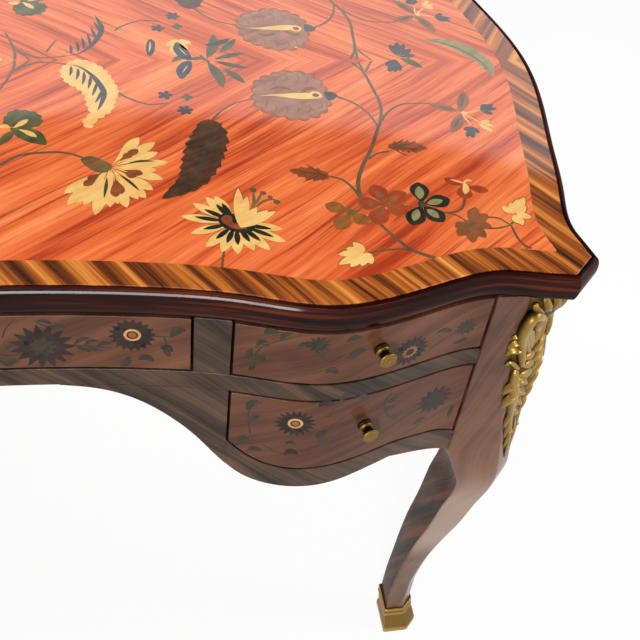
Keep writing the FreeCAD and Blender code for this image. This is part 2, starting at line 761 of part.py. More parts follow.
def make_drawers():
    gap = size("drawer_gap")
    seat = size("seat_gap")
    top = size(frame_top) - gap
    row = size(row_floor) + gap
    rail = size(rail_floor) - gap
    walls_top = size(frame_top + " - kicker_height - drawer_gap")
    half = size("centre_half_width") - gap
    middle = (top + row) / 2 + size("knob_rise")
    floor = size(row_floor) + seat
    make_drawer("centre_drawer", rectangle(-half, half, row, top), -half, half, floor, walls_top, 0, middle)
    start = size(pillar_start) + gap
    end = size(pillar_end) - gap
    handle = (start + end) / 2 + size("knob_sidestep")
    line = clipped(sweep_edge(gap), start, end)
    low_floor = size(board_floor) + seat
    low_top = low_floor + size("lower_box_height")
    low_middle = (rail + line[len(line) // 2][1]) / 2 + size("knob_rise")
    for side, name in ((1, "right"), (-1, "left")):
        low, high = sorted((start * side, end * side))
        make_drawer("upper_drawer_" + name, rectangle(low, high, row, top), low, high, floor, walls_top,
                    handle * side, middle)
        sweep = [(x * side, z) for x, z in line]
        edges = curve_through(sweep) + chain([sweep[-1], (sweep[-1][0], rail), (sweep[0][0], rail), sweep[0]])
        make_drawer("lower_drawer_" + name, edges, low, high, low_floor, low_top, handle * side, low_middle)


make_top()
make_front_frame()
make_sides()
leg_blank = make_legs()
make_brass(leg_blank)
make_inside()
inner_face = size("face_offset - front_thickness")
front_board = extrusion("drawer_front_board", strip(True, size("face_offset"), inner_face), up, frame_top)
drawer_room = between("drawer_room", inner_face, size("face_offset - panel"))
back_of_box = -size("ear_half_depth + front_bulge")
make_drawers()
doc.recompute()

for thing in doc.Objects:
    if "Invalid" in thing.State or "Error" in thing.State:
        raise RuntimeError("%s is not computed: %s" % (thing.Name, thing.State))
for name, thing in nodes.items():
    if thing.Shape.isNull() or not thing.Shape.isValid():
        raise RuntimeError("%s has no valid shape" % name)
# The knobs make the front reach further than the back, so the whole table is moved to put
# the origin under its middle
room = FreeCAD.BoundBox()
for thing in nodes.values():
    room.add(thing.Shape.optimalBoundingBox(False, False))
centring = FreeCAD.Vector(0, -room.Center.y, 0)
print("moved back by %.4f" % centring.y)
os.makedirs("parts", exist_ok=True)
for name, thing in nodes.items():
    piece = thing.Shape.copy()
    piece.translate(centring)
    piece.exportStep("parts/%s.step" % name)
    room = piece.BoundBox
    print("%-26s %d solids, x %.1f to %.1f, y %.1f to %.1f, z %.1f to %.1f" % (
        name, len(piece.Solids), room.XMin, room.XMax, room.YMin, room.YMax, room.ZMin, room.ZMax))
print(len(nodes), "nodes")
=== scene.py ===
import bpy
import math
import numpy as np
from mathutils import Matrix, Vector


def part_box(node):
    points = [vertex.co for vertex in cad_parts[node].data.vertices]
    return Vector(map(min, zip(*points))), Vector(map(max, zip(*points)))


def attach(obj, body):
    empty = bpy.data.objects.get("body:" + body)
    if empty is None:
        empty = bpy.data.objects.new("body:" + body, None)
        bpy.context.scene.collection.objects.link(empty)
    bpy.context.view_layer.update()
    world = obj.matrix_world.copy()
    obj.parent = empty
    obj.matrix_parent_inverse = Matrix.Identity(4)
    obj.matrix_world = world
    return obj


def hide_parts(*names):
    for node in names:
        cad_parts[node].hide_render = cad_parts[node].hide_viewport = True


# A serpentine writing table: marquetry top with zebra crossbanding and a dark bullnose edge,
# five veneered drawers with turned knobs, cabriole legs with cast brass mounts and shoes.

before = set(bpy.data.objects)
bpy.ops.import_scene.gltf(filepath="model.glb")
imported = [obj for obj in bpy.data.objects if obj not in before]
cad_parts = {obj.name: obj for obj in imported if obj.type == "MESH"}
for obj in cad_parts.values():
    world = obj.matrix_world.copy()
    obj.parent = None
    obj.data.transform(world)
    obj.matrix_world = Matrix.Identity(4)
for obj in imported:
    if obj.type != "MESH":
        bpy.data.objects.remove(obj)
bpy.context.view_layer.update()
mm = 0.001
up = np.array([0.0, 0.0, 1.0])


# Shader nodes

def addNode(tree, kind, settings, sockets):
    # the one way in which a node is made: its kind, its settings, then the values or links of its sockets
    made = tree.nodes.new("ShaderNode" + kind)
    for name, value in settings.items():
        if name == "stops":
            setStops(made.color_ramp, value)
        else:
            setattr(made, name, value)
    for name, term in sockets.items():
        join(tree, made.inputs[name], term)
    return made


def join(tree, socket, term):
    # links a wire to a socket, or sets the socket's value
    if isinstance(term, Wire):
        tree.links.new(term.end, socket)
    elif isinstance(term, tuple) and len(term) == 3 and socket.type == "RGBA":
        socket.default_value = term + (1.0,)
    else:
        socket.default_value = term


def axes(tree, vector):
    # the three parts of a vector
    return [Wire(tree, end) for end in addNode(tree, "SeparateXYZ", {}, {0: vector}).outputs]


class Wire:
    # an output socket that can be reckoned with: each operation adds a Math node
    def __init__(self, tree, end):
        self.tree = tree
        self.end = end

    def reckon(self, operation, *terms):
        made = addNode(self.tree, "Math", {"operation": operation}, dict(enumerate(terms)))
        return Wire(self.tree, made.outputs[0])

    def __add__(self, other):
        return self.reckon("ADD", self, other)

    def __radd__(self, other):
        return self.reckon("ADD", other, self)

    def __sub__(self, other):
        return self.reckon("SUBTRACT", self, other)

    def __rsub__(self, other):
        return self.reckon("SUBTRACT", other, self)

    def __mul__(self, other):
        return self.reckon("MULTIPLY", self, other)

    def __rmul__(self, other):
        return self.reckon("MULTIPLY", other, self)

    def __abs__(self):
        return self.reckon("ABSOLUTE", self)

    def step(self, low, high):
        # 0 below low, 1 above high, smooth between; with low over high it falls instead
        made = addNode(self.tree, "MapRange", {"interpolation_type": "SMOOTHSTEP"},
                       {"Value": self, "From Min": low, "From Max": high})
        return Wire(self.tree, made.outputs[0])


class Finish:
    # a material and the nodes that it is made of
    def __init__(self, name):
        self.material = bpy.data.materials.new(name)
        self.material.use_nodes = True
        self.tree = self.material.node_tree
        self.tree.nodes.clear()
        self.place = self.node("TexCoord", {}, {}, "Object")

    def node(self, kind, settings, sockets, output=0):
        return Wire(self.tree, addNode(self.tree, kind, settings, sockets).outputs[output])

    def vector(self, x, y, z=0.0):
        return self.node("CombineXYZ", {}, {0: x, 1: y, 2: z})

    def noise(self, vector, scale, detail, roughness=0.5):
        return self.node("TexNoise", {}, {"Vector": vector, "Scale": scale, "Detail": detail,
                                          "Roughness": roughness})

    def grain(self, along, across, detail, roughness=0.5):
        # noise drawn out by the two scales that its coordinates were given
        return self.noise(self.vector(along, across), 1.0, detail, roughness)

    def ramp(self, value, stops):
        return self.node("ValToRGB", {"stops": stops}, {0: value})

    def mix(self, share, first, second):
        return self.node("Mix", {"data_type": "RGBA"}, {0: share, 6: first, 7: second}, 2)

    def uv(self):
        return self.node("UVMap", {"uv_map": "veneer"}, {})

    def attribute(self, name):
        return self.node("Attribute", {"attribute_name": name}, {}, "Fac")

    def bump(self, height, strength, distance):
        return self.node("Bump", {}, {"Height": height, "Strength": strength, "Distance": distance})

    def close(self, colour, roughness, normal=None, **constants):
        # the shader: what varies is linked, and the rest is set on its sockets
        sockets = {name.replace("_", " "): value for name, value in constants.items()}
        sockets.update({"Base Color": colour, "Roughness": roughness})
        if normal:
            sockets["Normal"] = normal
        shader = self.node("BsdfPrincipled", {}, sockets)
        addNode(self.tree, "OutputMaterial", {}, {"Surface": shader})
        return self.material


def setStops(ramp, stops):
    while len(ramp.elements) < len(stops):
        ramp.elements.new(0.5)
    for element, (position, colour) in zip(ramp.elements, stops):
        element.position = position
        element.color = colour + (1.0,)


# Finishes

polish = {"Coat_Weight": 1.0, "Coat_Roughness": 0.04, "Coat_IOR": 1.75, "Specular_IOR_Level": 0.1}
edgePolish = {"Coat_Weight": 0.22, "Coat_Roughness": 0.12, "Coat_IOR": 1.5, "Specular_IOR_Level": 0.0}
facePolish = {"Coat_Weight": 0.5, "Coat_Roughness": 0.06, "Coat_IOR": 1.3, "Specular_IOR_Level": 0.03}


def grainAxes(x, y, degrees):
    # coordinates along and across a grain that runs at an angle
    turn = math.radians(degrees)
    along = x * math.cos(turn) + y * math.sin(turn)
    across = y * math.cos(turn) - x * math.sin(turn)
    return along, across


# sway: scales along and across the grain, and metres; grain: rows of the two scales, detail,
# roughness and share of the tone, from broad to fine; tones: places on the ramp and colours
tulipwood = {
    "slant": 39, "sway": (3.0, 7.0, 0.03),
    "grain": ((2.4, 24.0, 2.0, 0.5, 0.42), (5.0, 110.0, 3.0, 0.6, 0.38), (18.0, 560.0, 3.0, 0.6, 0.2)),
    "tones": ((0.38, (0.42, 0.042, 0.01)), (0.45, (0.68, 0.105, 0.025)), (0.53, (0.88, 0.185, 0.05)),
              (0.63, (0.97, 0.3, 0.1))),
    "streaks": (4.5, 190.0), "streak": (0.34, 0.034, 0.012), "streakShare": 0.75, "dull": 0.1}
zebraBanding = {
    "slant": -57, "sway": (5.0, 12.0, 0.012),
    "grain": ((2.0, 58.0, 1.0, 0.5, 0.5), (4.0, 170.0, 3.0, 0.6, 0.34), (12.0, 620.0, 3.0, 0.6, 0.16)),
    "tones": ((0.38, (0.045, 0.012, 0.004)), (0.45, (0.16, 0.037, 0.007)), (0.5, (0.36, 0.088, 0.013)),
              (0.55, (0.58, 0.17, 0.025)), (0.63, (0.85, 0.34, 0.065))), "dull": 0.12}


def topVeneer(name, wood):
    # veneer laid slanting and mirrored on both middle lines, with three widths of grain
    finish = Finish(name)
    x, y, z = axes(finish.tree, finish.place)
    along, across = grainAxes(abs(x), abs(y - middleY * mm) * -1.0, wood["slant"])
    swayAlong, swayAcross, sway = wood["sway"]
    across = across + (finish.grain(along * swayAlong, across * swayAcross, 2.0) - 0.5) * sway
    broad, middle, fine = [finish.grain(along * row[0], across * row[1], row[2], row[3])
                           for row in wood["grain"]]
    shares = [row[4] for row in wood["grain"]]
    colour = finish.ramp(broad * shares[0] + middle * shares[1] + fine * shares[2], wood["tones"])
    if "streaks" in wood:
        lines = finish.grain(along * wood["streaks"][0], across * wood["streaks"][1], 2.0, 0.45)
        streak = lines.step(0.45, 0.33) * middle.step(0.64, 0.44)
        colour = finish.mix(streak * wood["streakShare"], colour, wood["streak"])
    return finish.close(colour, fine * wood["dull"] + 0.2, **polish)


def mahogany():
    # almost black red polish over a grain that runs with the moulding
    finish = Finish("mahogany")
    u, v, w = axes(finish.tree, finish.uv())
    grain = finish.grain(u * 4.0, v * 120.0, 4.0, 0.6)
    colour = finish.ramp(grain, [(0.35, (0.004, 0.0012, 0.001)), (0.52, (0.018, 0.0032, 0.002)),
                                 (0.7, (0.11, 0.018, 0.006))])
    dents = finish.grain(u * 30.0, v * 60.0, 3.0, 0.6)
    return finish.close(colour, 0.3, finish.bump(dents, 0.25, 0.0015), **edgePolish)


# tones from dark to light; stripes: how many a metre; gloss: share of the polish; pale: share of a
# painted highlight on the shins, a paler tone where light falls, between the heights given after it
drawerWood = {"slant": 24, "tones": ((0.045, 0.018, 0.01), (0.09, 0.035, 0.018), (0.145, 0.056, 0.028)),
              "stripes": 40.0, "contrast": 1.0, "gloss": 0.5}
railWood = {"slant": -38, "tones": ((0.02, 0.014, 0.01), (0.048, 0.029, 0.019), (0.088, 0.046, 0.027)),
            "stripes": 85.0, "contrast": 1.4, "gloss": 0.5}
postWood = {"slant": 72, "tones": ((0.07, 0.036, 0.024), (0.122, 0.057, 0.035), (0.17, 0.078, 0.045)),
            "stripes": 36.0, "contrast": 1.2, "gloss": 0.6, "pale": 0.36, "worn": (0.5, 0.37, 0.28, 0.2),
            "wornTone": (0.5, 0.37, 0.28)}
innerWood = {"slant": -42, "tones": ((0.022, 0.013, 0.009), (0.06, 0.027, 0.016), (0.13, 0.048, 0.022)),
             "stripes": 30.0, "contrast": 1.6, "gloss": 0.1}


def faceVeneer(name, wood):
    # brown veneer on a bent face: slanting stripes, a fine grain and cloudy darker patches, and on the legs a
    # painted highlight low on the shins
    finish = Finish(name)
    u, v, w = axes(finish.tree, finish.uv())
    along, across = grainAxes(u, v, wood["slant"])
    across = across + (finish.grain(along * 6.0, across * 14.0, 2.0) - 0.5) * 0.02
    bands = finish.grain(along * 2.5, across * wood["stripes"], 2.0)
    lines = finish.grain(along * 4.0, across * wood["stripes"] * 3.2, 2.0, 0.55)
    fine = finish.grain(along * 14.0, across * 420.0, 4.0, 0.62)
    cloud = finish.noise(finish.vector(u * 14.0, v * 18.0, 3.1), 1.0, 2.0)
    tone = bands * 0.45 + lines * 0.2 + fine * 0.15 + cloud * 0.2
    spread = 0.13 / wood["contrast"]
    colour = finish.ramp(tone, list(zip((0.5 - spread, 0.5, 0.5 + spread), wood["tones"])))
    # painted highlight: a paler band on the lower shins that stands in for the light falling there
    if "pale" in wood:
        height = axes(finish.tree, finish.place)[2]
        top, full, low, bottom = wood["worn"]
        worn = height.step(top, full) * height.step(bottom, low)
        colour = finish.mix(worn * wood["pale"], colour, wood["wornTone"])
    return finish.close(colour, fine * 0.12 + 0.3, **dict(facePolish, Coat_Weight=wood["gloss"]))


def carcassWood():
    # plain wood inside, its grain along the length of a board
    finish = Finish("carcassWood")
    x, y, z = axes(finish.tree, finish.place)
    grain = finish.noise(finish.vector(x * 60.0, y * 3.0, z * 60.0), 1.0, 4.0, 0.6)
    rays = finish.noise(finish.vector(x * 300.0, y * 12.0, z * 300.0), 1.0, 2.0, 0.6)
    tones = ((0.32, (0.22, 0.125, 0.06)), (0.5, (0.34, 0.21, 0.11)), (0.68, (0.44, 0.29, 0.165)))
    colour = finish.ramp(grain * 0.75 + rays * 0.25, tones)
    return finish.close(colour, 0.62, finish.bump(grain, 0.2, 0.0008))


def giltBrass():
    # cast brass with painted shade: bright on its ridges, dark brown in its hollows and on the sides of its
    # bars
    finish = Finish("giltBrass")
    depth = finish.attribute("hollow")
    spots = finish.noise(finish.place, 420.0, 4.0, 0.65)
    # painted shade from the hollow attribute, with random spots over it
    worn = depth * 1.1 + (spots - 0.5) * 0.5
    colour = finish.ramp(worn, [(0.05, (0.38, 0.235, 0.06)), (0.35, (0.23, 0.13, 0.03)),
                                (0.7, (0.12, 0.066, 0.015)), (0.95, (0.032, 0.017, 0.005))])
    roughness = depth * 0.3 + spots * 0.14 + 0.26
    return finish.close(colour, roughness, finish.bump(spots, 0.18, 0.0006), Metallic=1.0)


def inlayWood(name, dark, light, turn, shine=polish):
    # a dyed or natural veneer of the marquetry, with its own grain
    finish = Finish(name)
    x, y, z = axes(finish.tree, finish.place)
    along, across = grainAxes(abs(x), y + z, turn)
    grain = finish.grain(along * 12.0, across * 90.0, 4.0, 0.6)
    blotch = finish.noise(finish.vector(x * 60.0, y * 60.0, z * 60.0), 1.0, 3.0, 0.6)
    colour = finish.ramp(grain * 0.6 + blotch * 0.4, [(0.34, dark), (0.6, light)])
    return finish.close(colour, grain * 0.1 + 0.24, **shine)


# the camera as found from the photograph, which is 640 pixels across: where it stands, in metres,
# and the directions that are right, down and ahead in the picture
camera = {"place": (0.171451, -0.969202, 1.368068), "right": (0.979610, -0.170815, 0.105764),
          "down": (-0.050515, -0.718935, -0.693239), "ahead": (0.194453, 0.673761, -0.712905),
          "lens": 54.5497, "sensor": 36, "picture": 640}

# Plan of the top, in millimetres

plan = {
    "frontRun": (0, 0.35, 0.455, 0.596, 0.71, 0.81, 0.874, 1),
    "frontRise": (0, 0.3, 0.56, 1, 0.77, 0.36, 0.2, 0.45),
    "sideRun": (0, 0.3, 0.49, 0.7, 0.9, 1), "sideRise": (1, 0.76, 0.49, 0.2, 0, 0.137),
    "earX": 611, "earY": 372, "cant": 24, "straight": 24, "setback": 20, "frontBulge": 44,
    "hollow": 7, "sideBulge": 51, "frontSteps": 72, "sideSteps": 52}
cadLow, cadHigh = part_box("top_edge_moulding")
middleY = float(cadLow[1] + cadHigh[1]) / 2 / mm  # the top's middle, behind the origin because of the knobs


def splineRow(points, leaving, arriving, steps):
    # points on a cubic spline through given points, with no jump of its second derivative, and its
    # unit directions there
    points = np.array(points, float)
    spans = np.linalg.norm(np.diff(points, axis=0), axis=1)
    knots = np.concatenate([[0], np.cumsum(spans)])
    count = len(points)
    system = np.eye(count)
    wanted = np.zeros_like(points)
    wanted[0], wanted[-1] = leaving, arriving
    for i in range(1, count - 1):
        before, after = spans[i - 1], spans[i]
        system[i, i - 1:i + 2] = after, 2 * (before + after), before
        wanted[i] = 3 * (after / before * (points[i] - points[i - 1])
                         + before / after * (points[i + 1] - points[i]))
    slopes = np.linalg.solve(system, wanted)
    at = np.linspace(0, knots[-1], steps + 1)
    index = np.clip(np.searchsorted(knots, at, side="right") - 1, 0, count - 2)
    span = spans[index][:, None]
    t = (at - knots[index])[:, None] / span
    start, stop = points[index], points[index + 1]
    first, last = slopes[index] * span, slopes[index + 1] * span
    row = (start * (2 * t**3 - 3 * t**2 + 1) + stop * (3 * t**2 - 2 * t**3)
           + first * (t**3 - 2 * t**2 + t) + last * (t**3 - t**2))
    way = (start - stop) * 6 * (t**2 - t) + first * (3 * t**2 - 4 * t + 1) + last * (3 * t**2 - 2 * t)
    return row, way / np.linalg.norm(way, axis=1)[:, None]


def halfEdge(front):
    # half of an edge from its middle to its corner, and how each point moves when the outline
    # grows by 1 mm
    if front:
        run, middle, bulge = plan["earX"] - plan["cant"], plan["earY"] - plan["setback"], plan["frontBulge"]
        points = [(run * a, -middle - bulge * b) for a, b in zip(plan["frontRun"], plan["frontRise"])]
        leaving, steps, turn = (1, 0), plan["frontSteps"], 1
    else:
        run, middle, bulge = plan["earY"] - plan["cant"], plan["earX"] - plan["hollow"], plan["sideBulge"]
        points = [(middle + bulge * b, -run * a) for a, b in zip(plan["sideRun"], plan["sideRise"])]
        leaving, steps, turn = (0, -1), plan["sideSteps"], -1
    points = np.array(points, float)
    corner = points[-1].copy()
    ending = (points[-1] - points[-2]) / np.linalg.norm(points[-1] - points[-2])
    points[-1] = corner - ending * plan["straight"]
    row, way = splineRow(points, leaving, ending, steps)
    normal = np.stack([way[:, 1], -way[:, 0]], 1) * turn
    cant = np.array([1, -1]) / math.sqrt(2)
    mitre = (normal[-1] + cant) / (1 + normal[-1] @ cant)
    return np.vstack([row, corner]), np.vstack([normal, mitre])


def wholeEdge(front):
    # both halves of an edge, anticlockwise round the plan
    row, push = halfEdge(front)
    across = np.array([-1, 1]) if front else np.array([1, -1])
    if front:
        return np.vstack([(row * across)[:0:-1], row]), np.vstack([(push * across)[:0:-1], push])
    return np.vstack([row[:0:-1], row * across]), np.vstack([push[:0:-1], push * across])


frontRow, frontPush = wholeEdge(True)
sideRow, sidePush = wholeEdge(False)
outline = np.vstack([frontRow, sideRow, -frontRow, -sideRow])
outlinePush = np.vstack([frontPush, sidePush, -frontPush, -sidePush])


def frontLine(x, offset):
    # Y of the bent front at X, for an offset from the banding's edge
    row = frontRow + frontPush * offset
    return np.interp(x, row[:, 0], row[:, 1]) + middleY


def lengthAlong(path):
    # distance from the first point of a path to each of its points
    return np.concatenate([[0], np.cumsum(np.linalg.norm(np.diff(path, axis=0), axis=1))])


def frontLength(x):
    # distance along the bent front from its middle
    steps = lengthAlong(frontRow)
    return np.interp(x, frontRow[:, 0], steps - steps[-1] / 2)


def frontTurn(x, offset):
    # outward direction of the bent front at X, as an angle
    row = frontRow + frontPush * offset
    return np.interp(x, row[:, 0], np.arctan2(frontPush[:, 0], -frontPush[:, 1]))


# Meshes


def placed(name, data):
    # a new object of the scene
    made = bpy.data.objects.new(name, data)
    bpy.context.scene.collection.objects.link(made)
    return made


def addPiece(name, points, faces, finish, body="table", uv=None, hollow=None, sharp=35, bevel=None,
             stands=()):
    # points and uv in millimetres, one of each for a point; stands: the CAD nodes that it replaces
    mesh = bpy.data.meshes.new(name)
    mesh.from_pydata((np.asarray(points) * mm).tolist(), [], [list(face) for face in faces])
    mesh.validate()
    corners = np.empty(len(mesh.loops), int)
    mesh.loops.foreach_get("vertex_index", corners)
    if uv is not None:
        layer = mesh.uv_layers.new(name="veneer")
        layer.data.foreach_set("uv", (np.asarray(uv, np.float32) * mm)[corners].ravel())
    # hollow: painted shade for the brass, one value a point
    if hollow is not None:
        layer = mesh.attributes.new("hollow", "FLOAT", "POINT")
        layer.data.foreach_set("value", np.asarray(hollow, np.float32))
    mesh.shade_smooth()
    mesh.set_sharp_from_angle(angle=math.radians(sharp))
    mesh.materials.append(finish)
    piece = placed(name, mesh)
    if bevel:
        rounding = piece.modifiers.new("edges", "BEVEL")
        rounding.width = bevel * mm
        rounding.segments = 2
        rounding.limit_method = "ANGLE"
        rounding.angle_limit = math.radians(40)
        rounding.harden_normals = True
    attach(piece, body)
    if stands:
        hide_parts(*stands)
    return piece


def tubeFaces(rows, columns):
    # quads of a grid of points, row by row, whose last column meets the first
    r, c = np.meshgrid(np.arange(rows - 1), np.arange(columns), indexing="ij")
    a = r * columns + c
    b = r * columns + (c + 1) % columns
    return np.stack([a, b, b + columns, a + columns], -1).reshape(-1, 4).tolist()


def cappedFaces(rows, columns):
    # the same, with a face over each end
    return tubeFaces(rows, columns) + [list(range(columns))[::-1],
                                       list(range((rows - 1) * columns, rows * columns))]


def ringFaces(rows, columns):
    # the same, with the last row joined to the first
    last = (rows - 1) * columns
    return tubeFaces(rows, columns) + [[last + i, last + (i + 1) % columns, (i + 1) % columns, i]
                                       for i in range(columns)]


def mirrorPoints(points, faces, x=1, y=1):
    # mirrored on the middle planes, with the faces turned round when that turns the shape inside out
    points = np.asarray(points, float) * [x, y, 1] + [0, middleY * (1 - y), 0]
    if x * y < 0:
        faces = [list(face)[::-1] for face in faces]
    return points, faces


def turnedOutwards(points, faces):
    # faces reversed where the shape's volume comes out negative
    a, b, c = [points[[face[k] for face in faces]] for k in (0, 1, 2)]
    centre = points.mean(axis=0)
    volume = np.sum(np.cross(a - centre, b - centre) * (c - centre))
    return points, [face[::-1] for face in faces] if volume < 0 else faces


def gathered(parts):
    # several closed shapes as one mesh: each one's faces count on from the points before it
    points, faces, count = [], [], 0
    for part, ring in parts:
        points.append(part)
        faces += [[i + count for i in face] for face in ring]
        count += len(part)
    return np.vstack(points), faces


tulip, zebra = topVeneer("tulipwood", tulipwood), topVeneer("zebraBanding", zebraBanding)
drawerVeneer, railVeneer = faceVeneer("drawerVeneer", drawerWood), faceVeneer("railVeneer", railWood)
postVeneer, innerVeneer = faceVeneer("postVeneer", postWood), faceVeneer("innerVeneer", innerWood)
mahoganyPolish, carcass, brass = mahogany(), carcassWood(), giltBrass()
print("finishes made")


# Top

def carriedRound(profile):
    # rows of an offset and a height, each carried round the outline
    rows = [np.column_stack([outline + outlinePush * offset + [0, middleY], np.full(len(outline), height)])
            for offset, height in profile]
    return np.vstack(rows)


top = {"surface": 775, "field": 774.8, "board": 773.5, "under": 745, "band": 30, "inlayDepth": 0.4,
       "ease": 0.6,
       "groove": 2,
       "bead": 0.4, "overhang": 9, "nose": 6, "noseSteps": 33}
field = [(-top["band"], top["board"]), (-top["band"], top["field"])]
addPiece("marquetryField", carriedRound(field), cappedFaces(len(field), len(outline)), tulip,
         stands=["top_field_veneer"])
band = [(-top["band"], top["surface"]), (-top["band"], top["board"]), (0, top["board"]),
        (0, top["surface"] - top["ease"]), (-top["ease"], top["surface"])]
addPiece("crossbanding", carriedRound(band), ringFaces(len(band), len(outline)), zebra,
         stands=["top_crossbanding"])


def edgeMoulding():
    # half an ellipse carried round the outline, with a groove beside the banding
    half = (top["surface"] - top["under"]) / 2
    turn = np.linspace(-90, 90, top["noseSteps"]) * math.pi / 180
    nose = np.column_stack([top["overhang"] - top["nose"] * (1 - np.cos(turn)),
                            top["under"] + half * (1 + np.sin(turn))])
    bead = [(top["groove"] + top["bead"], top["surface"] - 0.3), (top["groove"], top["surface"] - 0.9)]
    profile = np.vstack([[(0, top["under"])], nose, bead,
                         [(top["groove"], top["board"]), (0, top["board"])]])
    uv = np.stack(np.meshgrid(lengthAlong(outline), lengthAlong(profile)), -1).reshape(-1, 2)
    return addPiece("edgeMoulding", carriedRound(profile), ringFaces(len(profile), len(outline)),
                    mahoganyPolish, uv=uv, sharp=28, stands=["top_edge_moulding"])


edgeMoulding()
print("top made")


# Marquetry of the top

def sightLines(marks):
    # directions of the lines of sight through points of the photograph
    marks = np.atleast_2d(np.array(marks, float))
    focus = camera["lens"] / camera["sensor"] * camera["picture"]
    middle = camera["picture"] / 2
    return ((marks[:, :1] - middle) / focus * np.array(camera["right"])
            + (marks[:, 1:] - middle) / focus * np.array(camera["down"]) + np.array(camera["ahead"]))


def onTop(marks):
    # where those lines meet the top, in millimetres
    way, place = sightLines(marks), np.array(camera["place"])
    reach = (top["surface"] * mm - place[2]) / way[:, 2:]
    return (place + way * reach)[:, :2] / mm


def smooth(points, closed=False, steps=6):
    # curve through points with a slope at each that follows its two neighbours
    points = np.asarray(points, float)
    if closed:
        before, after, ahead = np.roll(points, 1, 0), np.roll(points, -1, 0), np.roll(points, -2, 0)
        start, stop = points, after
    else:
        padded = np.vstack([2 * points[0] - points[1], points, 2 * points[-1] - points[-2]])
        before, start, stop, ahead = padded[:-3], padded[1:-2], padded[2:-1], padded[3:]
    t = (np.arange(steps) / steps)[None, :, None]
    before, start, stop, ahead = before[:, None], start[:, None], stop[:, None], ahead[:, None]
    row = 0.5 * (2 * start + (stop - before) * t + (2 * before - 5 * start + 4 * stop - ahead) * t ** 2
                 + (3 * start - before - 3 * stop + ahead) * t ** 3)
    row = row.reshape(-1, 2)
    return row if closed else np.vstack([row, points[-1]])


def sidewards(path):
    # unit vectors across a path
    way = np.gradient(path, axis=0)
    way /= np.maximum(np.linalg.norm(way, axis=1), 1e-9)[:, None]
    return np.stack([-way[:, 1], way[:, 0]], 1)


def along(path, halfWidth):
    # outline of a strip that is twice halfWidth wide at each point of a path
    away = sidewards(path) * np.asarray(halfWidth)[:, None]
    return np.vstack([path + away, (path - away)[::-1]])


def evenly(path, count):
    # the same path with its points at even distances
    reach = lengthAlong(path)
    at = np.linspace(0, reach[-1], count)
    return np.stack([np.interp(at, reach, path[:, 0]), np.interp(at, reach, path[:, 1])], 1)


def stem(marks, width=3.4):
    # ribbon that thins towards its end, cut off at the top's middle line
    path = smooth(onTop(marks))
    path = path[path[:, 1] < middleY] if path[:, 1].max() > middleY and len(marks) > 3 else path
    share = np.linspace(0, 1, len(path))
    return along(path, width / 2 * (1 - 0.3 * share))


def petal(marks, width, belly=0.5, count=13, onto=onTop):
    # pointed leaf along a path: its half width is a sine whose top lies at belly
    path = evenly(smooth(onto(marks)), count)
    share = np.linspace(0, 1, count)
    return along(path, width / 2 * np.sin(math.pi * share ** (math.log(0.5) / math.log(belly))) ** 0.8 + 0.02)


def sawLeaf(marks, width, teeth, depth, belly):
    # leaf with a notched edge: the half width of a petal times a saw
    count = teeth * 4 + 1
    path = evenly(smooth(onTop(marks)), count)
    share = np.linspace(0, 1, count)
    saw = 1 - depth * (1 - (share * teeth) % 1)
    saw[-1] = 1
    body = np.sin(math.pi * share ** (math.log(0.5) / math.log(belly))) ** 0.7
    return along(path, width / 2 * body * saw + 0.02)


def outlineOf(marks):
    # rounded closed curve through points
    return smooth(onTop(marks), True, 4)


def scalloped(marks, lobes, depth):
    # closed curve whose edge swells out in round lobes
    path = smooth(onTop(marks), True, 8)
    path = evenly(np.vstack([path, path[:1]]), lobes * 6 + 1)[:-1]
    way = np.roll(path, -1, 0) - np.roll(path, 1, 0)
    way /= np.linalg.norm(way, axis=1)[:, None]
    turn = np.sign(np.sum(path[:, 0] * np.roll(path[:, 1], -1) - path[:, 1] * np.roll(path[:, 0], -1)))
    out = np.stack([way[:, 1], -way[:, 0]], 1) * turn
    wave = np.abs(np.sin(math.pi * lobes * np.arange(len(path)) / len(path)))
    return path + out * (depth * (wave - 0.5))[:, None]


def disc(mark, radius):
    turn = np.linspace(0, 2 * math.pi, 20, endpoint=False)
    return onTop(mark)[0] + np.stack([np.cos(turn), np.sin(turn)], 1) * radius


def rosette(mark, radius, petals, inner, turn=0.0):
    # round flower: its radius swings between inner and 1 once for each petal
    angle = np.linspace(0, 2 * math.pi, petals * 8, endpoint=False)
    wave = np.abs(np.cos(angle * petals / 2 - turn)) ** 0.7
    reach = radius * (inner + (1 - inner) * wave)
    return onTop(mark)[0] + np.stack([np.cos(angle), np.sin(angle)], 1) * reach[:, None]


def blades(heart, tips, width, start=0.1, belly=0.6):
    # petals that run from near a heart to their tips
    heart = np.array(heart, float)
    return [petal([heart + (np.array(tip) - heart) * share for share in (start, 0.55, 1)], width, belly)
            for tip in tips]


def roundPetals(heart, ends, width):
    # fat round petals from a heart to their ends
    heart = np.array(heart, float)
    return [petal([heart + (np.array(end) - heart) * share for share in (0.02, 0.5, 1)], width, 0.62, 17)
            for end in ends]


inlays = []


def inlay(wood, layer, *shapes):
    # a wood, its layer counted from the lowest, and shapes whose marks are points of the photograph
    inlays.extend((wood, layer, shape) for shape in shapes)


